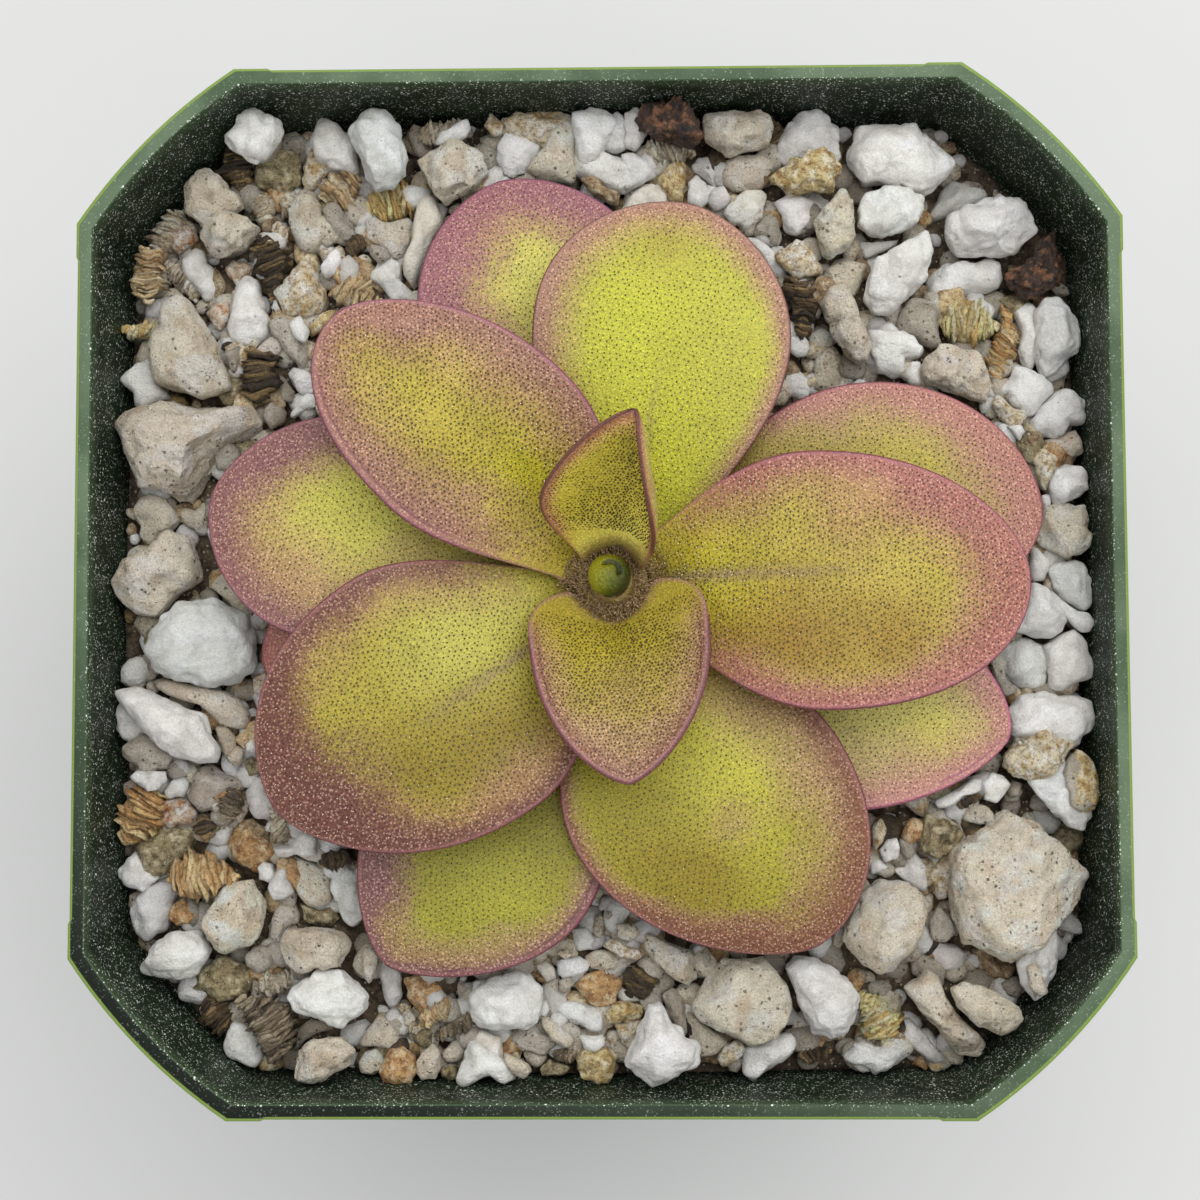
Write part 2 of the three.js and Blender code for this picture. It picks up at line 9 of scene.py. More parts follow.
import bmesh
import bpy
import numpy as np
from mathutils import Euler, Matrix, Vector


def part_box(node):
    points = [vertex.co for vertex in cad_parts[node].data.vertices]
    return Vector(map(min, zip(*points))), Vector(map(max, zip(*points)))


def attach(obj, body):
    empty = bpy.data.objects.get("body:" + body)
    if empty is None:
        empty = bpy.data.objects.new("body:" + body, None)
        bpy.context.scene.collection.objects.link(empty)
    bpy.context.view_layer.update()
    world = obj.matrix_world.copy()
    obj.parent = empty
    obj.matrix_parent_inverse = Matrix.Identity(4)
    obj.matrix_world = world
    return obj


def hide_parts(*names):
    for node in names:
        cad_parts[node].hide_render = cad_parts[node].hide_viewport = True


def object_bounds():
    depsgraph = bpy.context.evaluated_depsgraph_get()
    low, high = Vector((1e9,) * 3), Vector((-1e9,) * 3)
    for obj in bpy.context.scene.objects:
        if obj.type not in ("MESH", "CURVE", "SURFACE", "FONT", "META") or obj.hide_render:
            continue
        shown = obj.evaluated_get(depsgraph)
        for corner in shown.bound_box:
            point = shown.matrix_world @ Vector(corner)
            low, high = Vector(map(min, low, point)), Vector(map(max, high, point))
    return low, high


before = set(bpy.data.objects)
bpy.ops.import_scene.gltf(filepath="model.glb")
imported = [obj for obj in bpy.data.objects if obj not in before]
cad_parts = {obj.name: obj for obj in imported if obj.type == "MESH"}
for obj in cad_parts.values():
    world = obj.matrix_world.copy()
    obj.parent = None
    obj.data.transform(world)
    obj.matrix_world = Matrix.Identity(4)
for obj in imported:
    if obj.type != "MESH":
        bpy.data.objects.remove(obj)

CAD_BOX = [[float(c) for c in corner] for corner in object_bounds()]
MM = 0.001
CAD_TOP = CAD_BOX[1][2] / MM

# Seeds of the random draws and of the noise. Leaves and grains add their own numbers to some of them.
ZONE_SEED, GLAND_SEED, CROWN_SEED, HAIR_SEED, BED_SEED = 7, 100, 5, 8, 21
FILLER_SEED, FILLER_SHAPE_SEED, SUPPORT_SEED, CARRIER_SEED = 3, 5000, 7000, 900

# ---- camera -------------------------------------------------------------------------------------

PHOTO_SIZE = 1200  # pixels along each side of the frame
FOCAL = 2000  # the camera's focal length in those pixels
SENSOR = 36  # its sensor's width
CAMERA_PLACE = np.array([2.6415, -10.0416, 213.0005])
CAMERA_TURN = Euler((0.0623, 0.0180, -0.0037), "XYZ")
NEAREST, FARTHEST = 0.005, 5  # what the camera sees lies between these, in metres
CAMERA_AXES = np.array(CAMERA_TURN.to_matrix())


def at_pixel(x, y, height):
    """The points at these heights that the camera sees at these pixels."""
    x, y, height = np.broadcast_arrays(np.asarray(x, float), np.asarray(y, float), np.asarray(height, float))
    middle = PHOTO_SIZE / 2
    ray = np.stack([(x - middle) / FOCAL, (middle - y) / FOCAL, -np.ones_like(x)], -1) @ CAMERA_AXES.T
    reach = (height - CAMERA_PLACE[2]) / ray[..., 2]
    return CAMERA_PLACE + ray * reach[..., None]


def to_pixel(points):
    """The pixels at which the camera sees these points."""
    seen = (np.asarray(points) - CAMERA_PLACE) @ CAMERA_AXES
    middle = PHOTO_SIZE / 2
    return middle - FOCAL * seen[..., 0] / seen[..., 2], middle + FOCAL * seen[..., 1] / seen[..., 2]


def make_camera():
    lens = bpy.data.cameras.new("camera")
    lens.sensor_width = SENSOR
    lens.lens = FOCAL / PHOTO_SIZE * SENSOR
    lens.clip_start, lens.clip_end = NEAREST, FARTHEST
    camera = bpy.data.objects.new("camera", lens)
    camera.location = CAMERA_PLACE * MM
    camera.rotation_euler = CAMERA_TURN
    bpy.context.scene.collection.objects.link(camera)
    bpy.context.scene.camera = camera


# ---- numbers ------------------------------------------------------------------------------------


def smooth_step(value, low, high):
    k = np.clip((np.asarray(value, float) - low) / (high - low), 0, 1)
    return k * k * (3 - 2 * k)


CELL_PRIMES, SEED_PRIME = (73856093, 19349663, 83492791), 2654435761
BITS_32 = 0xFFFFFFFF


def scatter(cells, seed):
    """A repeatable number from -1 to 1 for each cell of a grid, by mixing the bits of its place."""
    h = seed * SEED_PRIME
    for axis, prime in enumerate(CELL_PRIMES):
        h = cells[..., axis] * prime ^ h
    h = h & BITS_32
    for shift, factor in ((15, 0x2C1B3C6D), (12, 0x297A2D39)):
        h = ((h ^ (h >> shift)) * factor) & BITS_32
    return (h ^ (h >> 15)) / (BITS_32 // 2) - 1


def soft_noise(points, seed=0):
    """Smooth random numbers from -1 to 1, one per point, that change over a length of about 1."""
    cell = np.floor(points).astype(np.int64)
    part = points - cell
    part = part * part * (3 - 2 * part)
    total = 0
    for corner in np.ndindex(2, 2, 2):
        weight = np.prod(np.where(corner, part, 1 - part), -1)
        total = total + weight * scatter(cell + np.array(corner), seed)
    return total


FINER, APART = 2.03, 17.3  # each layer of rough noise is this much finer, and shifted by this


def rough_noise(points, octaves, seed=0, gain=0.5):
    """Several layers of soft noise, each finer than the one before."""
    total, size = 0, 1.0
    for layer in range(octaves):
        total = total + size * soft_noise(points * FINER ** layer + APART * layer, seed + layer)
        size *= gain
    return total


# ---- meshes -------------------------------------------------------------------------------------


def tiles(rows, columns, closed=False, offset=0):
    """The quads of a grid of points; closed joins the last column to the first."""
    i, j = np.meshgrid(np.arange(rows - 1), np.arange(columns if closed else columns - 1), indexing="ij")
    i, j = i.ravel(), j.ravel()
    right = (j + 1) % columns
    return offset + np.stack([i * columns + j, (i + 1) * columns + j,
                              (i + 1) * columns + right, i * columns + right], 1)


def add_piece(name, points, faces, material, attributes=None, replaced=()):
    """Makes one mesh, in millimetres, and declares what it rides on, its finish and what it replaces."""
    mesh = bpy.data.meshes.new(name)
    blocks = [np.asarray(block, np.int32) for block in faces if len(block)]
    loops = np.concatenate([block.ravel() for block in blocks])
    sizes = np.concatenate([np.full(len(block), block.shape[1]) for block in blocks])
    mesh.vertices.add(len(points))
    mesh.vertices.foreach_set("co", (np.asarray(points) * MM).astype(np.float32).ravel())
    mesh.loops.add(len(loops))
    mesh.loops.foreach_set("vertex_index", loops)
    mesh.polygons.add(len(sizes))
    mesh.polygons.foreach_set("loop_start", np.concatenate([[0], np.cumsum(sizes)[:-1]]).astype(np.int32))
    mesh.update(calc_edges=True)
    mesh.polygons.foreach_set("use_smooth", np.full(len(sizes), True))
    for key, values in (attributes or {}).items():
        values = np.asarray(values, np.float32)
        if values.ndim == 2:
            layer = mesh.attributes.new(key, "FLOAT_COLOR", "POINT")
            layer.data.foreach_set("color", np.column_stack([values, np.ones(len(values))]).ravel())
        else:
            mesh.attributes.new(key, "FLOAT", "POINT").data.foreach_set("value", values)
    mesh.materials.append(material)
    piece = bpy.data.objects.new(name, mesh)
    bpy.context.scene.collection.objects.link(piece)
    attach(piece, "root")
    if replaced:
        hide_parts(*replaced)
    return piece


def joined(parts):
    """One set of points, faces and attributes from several."""
    points, faces, attributes, start = [], [], {}, 0
    for part_points, part_faces, part_attributes in parts:
        points.append(part_points)
        faces.append(part_faces + start)
        start += len(part_points)
        for key, values in part_attributes.items():
            attributes.setdefault(key, []).append(values)
    return (np.concatenate(points), np.concatenate(faces),
            {key: np.concatenate(values) for key, values in attributes.items()})


# ---- materials ----------------------------------------------------------------------------------


def tone(red, green, blue):
    """A colour given as 0 to 255 on screen, as the linear numbers that a shader takes."""
    parts = [c / 12.92 if c <= 0.04045 else ((c + 0.055) / 1.055) ** 2.4
             for c in (red / 255, green / 255, blue / 255)]
    return (*parts, 1.0)


def linear(hue):
    """A hue's three linear numbers, for colouring points."""
    return np.array(tone(*hue)[:3])


class Look:
    """One material's nodes. Lengths in its textures are millimetres."""

    def __init__(self, name, **shader):
        self.material = bpy.data.materials.new(name)
        self.material.use_nodes = True
        self.tree = self.material.node_tree
        self.tree.nodes.clear()
        self.shader = self.node("BsdfPrincipled")
        for key, value in shader.items():
            self.put(self.shader, key.replace("_", " "), value)
        output = self.node("OutputMaterial")
        self.tree.links.new(self.shader.outputs[0], output.inputs["Surface"])
        place = self.node("VectorMath", operation="SCALE")
        self.put(place, 0, self.node("TexCoord").outputs["Object"])
        self.put(place, "Scale", 1 / MM)
        self.place = place.outputs[0]

    def node(self, kind, **settings):
        made = self.tree.nodes.new("ShaderNode" + kind)
        for key, value in settings.items():
            setattr(made, key, value)
        return made

    def put(self, node, key, value):
        if isinstance(value, bpy.types.NodeSocket):
            self.tree.links.new(value, node.inputs[key])
        else:
            node.inputs[key].default_value = value

    def filled(self, kind, inputs, **settings):
        """A new node with these inputs filled in."""
        made = self.node(kind, **settings)
        for key, value in inputs.items():
            self.put(made, key, value)
        return made

    def math(self, operation, first, second=0.0, clamp=False):
        return self.filled("Math", {0: first, 1: second}, operation=operation, use_clamp=clamp).outputs[0]

    def times(self, first, second, clamp=False):
        return self.math("MULTIPLY", first, second, clamp)

    def plus(self, first, second):
        return self.math("ADD", first, second)

    def between(self, value, low, high):
        """0 at low, 1 at high, smooth in between."""
        inputs = {"Value": value, "From Min": low, "From Max": high}
        return self.filled("MapRange", inputs, interpolation_type="SMOOTHSTEP").outputs[0]

    def mix(self, factor, first, second, blend="MIX"):
        inputs = {0: factor, 6: first, 7: second}
        return self.filled("Mix", inputs, data_type="RGBA", blend_type=blend).outputs[2]

    def over(self, colour, other, where, strength):
        """The colour with another laid over it, as much as where says times the strength."""
        return self.mix(self.times(where, strength), colour, other)

    def stained(self, colour, stain, where, strength):
        """The colour multiplied by a stain, as much as where says times the strength."""
        return self.over(colour, self.mix(1.0, colour, tone(*stain), "MULTIPLY"), where, strength)

    def mottled(self, noise, low, high, first, second):
        """One hue where the noise is low, and another where it is high."""
        return self.mix(self.between(noise, low, high), tone(*first), tone(*second))

    def brightened(self, colour, value):
        return self.filled("HueSaturation", {"Color": colour, "Value": value}).outputs[0]

    def split(self, vector):
        return self.filled("SeparateXYZ", {0: vector}).outputs

    def noise(self, per_mm, detail=2.0, roughness=0.5, place=None):
        inputs = {"Vector": place or self.place, "Scale": per_mm, "Detail": detail, "Roughness": roughness}
        return self.filled("TexNoise", inputs).outputs["Fac"]

    def cells(self, per_mm):
        return self.filled("TexVoronoi", {"Vector": self.place, "Scale": per_mm}).outputs["Distance"]

    def data(self, name, colour=False):
        made = self.node("Attribute", attribute_name=name)
        return made.outputs["Color" if colour else "Fac"]

    def bump(self, height, depth):
        """Relief of that depth in millimetres, added on top of any given before."""
        made = self.filled("Bump", {"Strength": 1.0, "Distance": depth * MM, "Height": height})
        if self.shader.inputs["Normal"].is_linked:
            self.put(made, "Normal", self.shader.inputs["Normal"].links[0].from_socket)
        self.put(self.shader, "Normal", made.outputs[0])

    def finish(self, colour, roughness=None):
        self.put(self.shader, "Base Color", colour)
        if roughness is not None:
            self.put(self.shader, "Roughness", roughness)
        return self.material


FUZZ = (152, 124, 78)  # the hairy leaf bases around the crown
PALE_BEAD_AND_HIGHLIGHT = (250, 214, 186)  # glands without stalks, painted pale together with their highlights
PALE_UNDERSIDE = (166, 124, 104)  # the second hue of every leaf's underside
# How much less blue the hues of a leaf get than its row in LEAF_LOOKS gives.
LESS_BLUE = {"green": 12, "lime": 12, "olive": 12, "vein": 12, "blush": 8, "deep": 3}
LEAST_BLUE = 4


def leaf_look(name, hues, shade=1.0):
    """Fleshy leaf: the mesh says where each hue goes, and fine grain breaks up the borders."""
    hues = {key: tone(shade * red, shade * green, max(LEAST_BLUE, shade * blue - LESS_BLUE.get(key, 0)))
            for key, (red, green, blue) in hues.items()}
    look = Look(name, Specular_IOR_Level=0.38, Subsurface_Weight=0.08, Subsurface_Scale=0.0012)
    grain = look.math("SUBTRACT", look.noise(3.6, 3, 0.8), 0.5)
    soft = look.math("SUBTRACT", look.noise(0.7, 3, 0.6), 0.5)
    fine = look.noise(7, 2, 0.7)
    bead = look.between(look.cells(4.4), 0.52, 0.14)

    def broken(key, amount, wander=0.5):
        """Where this hue shows: its zone, with a border that dissolves into grains."""
        edge = look.plus(look.data(key), look.times(grain, amount))
        edge = look.plus(edge, look.times(soft, wander))
        faded = look.times(look.between(look.data(key), 0.0, 0.25), edge)
        return look.times(faded, 1.0, True)

    colour = look.mix(broken("lime", 0.7), hues["green"], hues["lime"])
    colour = look.mix(broken("olive", 0.9), colour, hues["olive"])
    blush, deep = broken("blush", 1.5), broken("deep", 1.9)
    colour = look.mix(blush, colour, hues["blush"])
    colour = look.mix(deep, colour, hues["deep"])
    colour = look.mix(broken("vein", 1.6, 0), colour, hues["vein"])
    colour = look.mix(broken("fuzz", 1.2, 0), colour, tone(*FUZZ))
    # short glands without stalks, painted pale together with their highlights, where the leaf is flushed
    beads_and_highlights = look.times(bead, look.times(look.math("MAXIMUM", blush, deep), 0.42))
    colour = look.mix(beads_and_highlights, colour, look.mix(0.62, colour, tone(*PALE_BEAD_AND_HIGHLIGHT)))
    # the band along the margin, the thin line at its very edge, and the crease inside a rolled one
    edge = look.data("edge")
    colour = look.over(colour, hues["margin"], look.between(edge, 0.44, 0.14), 0.85)
    colour = look.over(colour, hues["line"], look.between(edge, 0.18, 0.06), 0.85)
    colour = look.over(colour, hues["line"], look.between(look.data("crease"), 0.25, 0.8), 0.7)
    underside = look.mix(look.noise(0.8, 3), hues["under"], tone(*PALE_UNDERSIDE))
    colour = look.mix(look.data("under"), colour, underside)
    # fine random grain, and the beads brightened as painted highlights
    mottle = look.plus(look.times(fine, 1.6), look.times(bead, 0.25))
    look.bump(bead, 0.03)
    look.bump(look.noise(5, 3, 0.7), 0.07)
    colour = look.brightened(colour, look.plus(mottle, 0.02))
    return look.finish(colour, look.plus(look.times(fine, 0.3), 0.28))


def gland_look():
    look = Look("sticky_gland", Specular_IOR_Level=0.5, Roughness=0.3)
    return look.finish(look.data("tint", True))


def stone_look(name, pore_shade, pore_share, stain, pores, relief, sandy):
    """Rough mineral: each grain's own tint, mottled, with dark pores of painted shade, and finely pitted.

    The first hue is the painted shade in the pores, the next number how much of the stone has them, pores how
    many lie in a millimetre, and sandy how much the brightness varies from grain to grain of the stone."""
    look = Look(name, Specular_IOR_Level=0.25)
    colour = look.data("tint", True)
    colour = look.stained(colour, stain, look.between(look.noise(0.55, 4, 0.6), 0.5, 0.72), 0.5)
    colour = look.stained(colour, stain, look.between(look.noise(3.4, 4, 0.8), 0.52, 0.36), 0.5)
    gate = look.between(look.noise(0.9, 2, 0.5), 0.72 - pore_share, 0.78 - pore_share)
    pore = look.times(look.between(look.cells(pores), 0.24, 0.1), gate)
    dot = look.times(look.between(look.cells(pores * 2.1), 0.22, 0.1), gate)
    pit = look.math("MAXIMUM", pore, dot)
    colour = look.over(colour, tone(*pore_shade), pit, 0.8)
    value = look.plus(look.times(look.noise(7.5, 3, 0.75), sandy), 1.03 - 0.5 * sandy)
    look.bump(look.noise(2.2, 6, 0.75), relief)
    look.bump(look.times(pit, -1.0), 0.5 * relief)
    return look.finish(look.brightened(colour, value), 0.92)


def mica_look(name, stain, glint, shine):
    """Layered mineral: each plate has its own tint, streaked, with painted pearly glints."""
    look = Look(name, Specular_IOR_Level=0.6)
    grain = look.noise(3.4, 5, 0.8)
    colour = look.stained(look.data("tint", True), stain, look.between(grain, 0.54, 0.38), 0.8)
    spark = look.between(look.noise(6, 3, 0.7), 0.58, 0.7)
    colour = look.over(colour, tone(*glint), spark, shine)
    look.bump(grain, 0.3)
    look.bump(look.noise(7, 3, 0.7), 0.1)
    return look.finish(colour, look.math("SUBTRACT", 0.6, look.times(spark, 0.3)))


# The pot's hues, two where it is mottled.
POT_OUTSIDE = (44, 62, 45), (50, 69, 49)
POT_INSIDE = (18, 30, 17), (30, 44, 26)
POT_RIM = (64, 81, 58), (90, 106, 82)
POT_UNDER_RIM = (64, 84, 56)
POT_RIM_IN_SHADE = (12, 20, 10)
# painted highlight on the rim's inner edge
POT_BEVEL_HIGHLIGHT = (96, 114, 90)
# painted highlight on the rim's outer edge
POT_RIM_EDGE_HIGHLIGHT = (114, 136, 64)
POT_DUST = (226, 232, 220)


def plastic_look():
    """Moulded polypropylene: dark green, dusted with white grit inside, a paler rim with painted edge
    highlights and shade.
    """
    look = Look("pot_plastic", Specular_IOR_Level=0.16)
    normal = look.node("NewGeometry").outputs["Normal"]
    x, y, height = look.split(look.place)
    up = look.split(normal)[2]
    level = look.filled("CombineXYZ", {0: x, 1: y}).outputs[0]
    # above 0 where the surface faces away from the pot's axis, below 0 where it faces toward it
    outward = look.filled("VectorMath", {0: level, 1: normal}, operation="DOT_PRODUCT").outputs["Value"]
    inside = look.times(look.between(outward, -4, -12), look.between(height, 40, 50))
    rim = look.times(look.between(up, 0.75, 0.97), look.between(height, 69.2, 69.6))
    # painted highlight along the rim's outer edge
    rim_edge_highlight = look.times(look.between(outward, 6, 14), look.between(height, 69.25, 69.6))
    under_rim = look.times(inside, look.between(height, 68.2, 69.6))
    # painted highlight along the rim's rounded inner edge
    bevel_highlight = look.times(look.between(outward, -6, -14),
                       look.times(look.between(height, 69.7, 69.8), look.between(up, 0.15, 0.4)))
    in_shade = look.between(look.plus(look.times(x, 0.45), y), -12, -46)  # toward the front left
    soft = look.noise(0.25, 4, 0.6)
    colour = look.mix(inside, look.mottled(soft, 0.35, 0.7, *POT_OUTSIDE),
                      look.mottled(soft, 0.3, 0.7, *POT_INSIDE))
    colour = look.over(colour, tone(*POT_UNDER_RIM), under_rim, 0.5)
    colour = look.mix(rim, colour, look.mottled(look.noise(0.12, 3, 0.6), 0.35, 0.65, *POT_RIM))
    colour = look.over(colour, tone(*POT_RIM_IN_SHADE), rim, in_shade)
    colour = look.over(colour, tone(*POT_BEVEL_HIGHLIGHT), bevel_highlight, 0.25)
    colour = look.mix(rim_edge_highlight, colour, tone(*POT_RIM_EDGE_HIGHLIGHT))
    dust = look.between(look.cells(5.2), 0.33, 0.18)
    heavy = look.times(look.between(look.noise(0.5, 3, 0.6), 0.26, 0.52),
                       look.between(look.noise(2.6, 2, 0.6), 0.36, 0.6))
    fleck = look.times(look.between(look.cells(1.7), 0.17, 0.11),
                       look.between(look.noise(0.8, 2, 0.5), 0.42, 0.55))
    specks = look.math("MAXIMUM", look.times(dust, heavy), fleck)
    amount = look.plus(look.times(inside, 0.95), look.times(rim, 0.14))
    colour = look.over(colour, tone(*POT_DUST), specks, amount)
    look.bump(look.noise(6, 3, 0.6), 0.02)
    return look.finish(colour, look.plus(look.times(look.noise(3, 2), 0.2), 0.38))


def soil_look():
    look = Look("fine_mix", Specular_IOR_Level=0.2)
    colour = look.mottled(look.noise(1.1, 4, 0.7), 0.35, 0.65, (56, 47, 37), (112, 98, 80))
    colour = look.over(colour, tone(190, 178, 158), look.between(look.cells(2.2), 0.25, 0.15), 0.7)
    look.bump(look.noise(3, 5, 0.7), 0.3)
    return look.finish(colour, 0.95)


def stem_look():
    look = Look("stem_and_roots", Specular_IOR_Level=0.3)
    streak = look.filled("VectorMath", {0: look.place, 1: (3.0, 3.0, 0.5)}, operation="MULTIPLY")
    fibre = look.noise(1.4, 4, 0.7, streak.outputs[0])
    look.bump(fibre, 0.12)
    return look.finish(look.mottled(fibre, 0.35, 0.7, (104, 84, 50), (184, 164, 112)), 0.75)


def floor_look():
    look = Look("pale_floor", Specular_IOR_Level=0.1)
    colour = look.mottled(look.noise(0.02, 3, 0.5), 0.3, 0.7, (197, 197, 195), (199, 199, 197))
    return look.finish(colour, 0.9)


# ---- leaves -------------------------------------------------------------------------------------

CROWN = np.array([0.95, 0.2])  # the stem's axis
LEAF_START = 2.5  # leaves begin this far from it
LEAF_BASE_HALF = 2.1  # their half width there
LEAF_THICKNESS = 1.1

# The same surfaces as the CAD leaves: direction, length, widest half widths left and right, where it is
# widest, sideways drift of the tip, exponents of the tip, height, the slopes of its base and its tip, and
# how steep its margin gets at them on the left, and on the right where that differs.
LEAVES = [
    (80, 15.1, 6.0, 4.1, 0.51, 0.01, (1.65, 1.5), 70.1, (72, 42), (30, 45), (50, 150)),
    (278, 14.2, 6.9, 6.8, 0.22, -0.05, (2.3, 1.4), 69.6, (50, 14), (45, 25), None),
    (125, 25.2, 8.8, 6.8, 0.48, 0.19, (2.15, 1.75), 68.95, (38.5, -9), (22, -4), None),
    (3, 28.1, 8.4, 9.7, 0.47, -0.06, (2.1, 1.95), 68.4, (38, -12), (20, -6), None),
    (220, 27.5, 9.4, 11.2, 0.47, -0.1, (2.15, 1.7), 67.85, (36, -20), (18, -12), None),
    (75.5, 26.2, 9.7, 8.8, 0.63, 0.04, (1.95, 1.8), 67.3, (33, -14), (18, -4), None),
    (291.5, 28.3, 9.8, 10.5, 0.54, 0.13, (2.0, 1.75), 66.75, (31, -24), (16, -14), None),
    (165, 28.1, 9.0, 7.6, 0.62, 0.05, (2.1, 1.7), 66.2, (29, -16), (16, -4), None),
    (12, 30.0, 10.5, 7.3, 0.58, -0.02, (1.95, 2.0), 65.7, (27, -16), (16, -6), None),
    (240, 30.3, 10.3, 7.0, 0.64, -0.01, (1.85, 1.5), 65.2, (25, -16), (16, -6), None),
    (104, 29.4, 8.8, 9.0, 0.64, 0.02, (2.0, 1.75), 64.75, (23, -16), (14, -4), None),
    (332, 28.8, 7.2, 9.1, 0.6, 0.12, (1.7, 1.6), 64.3, (21, -12), (14, 0), None),
    (190.5, 24.4, 4.9, 5.9, 0.66, 0.03, (2.0, 1.8), 63.85, (19, -12), (12, 0), None),
]


def leaf_hues(green, lime, olive, blush, deep, margin, line=(104, 52, 58), vein=(158, 132, 112),
              under=(158, 150, 84)):
    return dict(green=green, lime=lime, olive=olive, blush=blush, deep=deep, margin=margin, line=line,
                vein=vein, under=under)


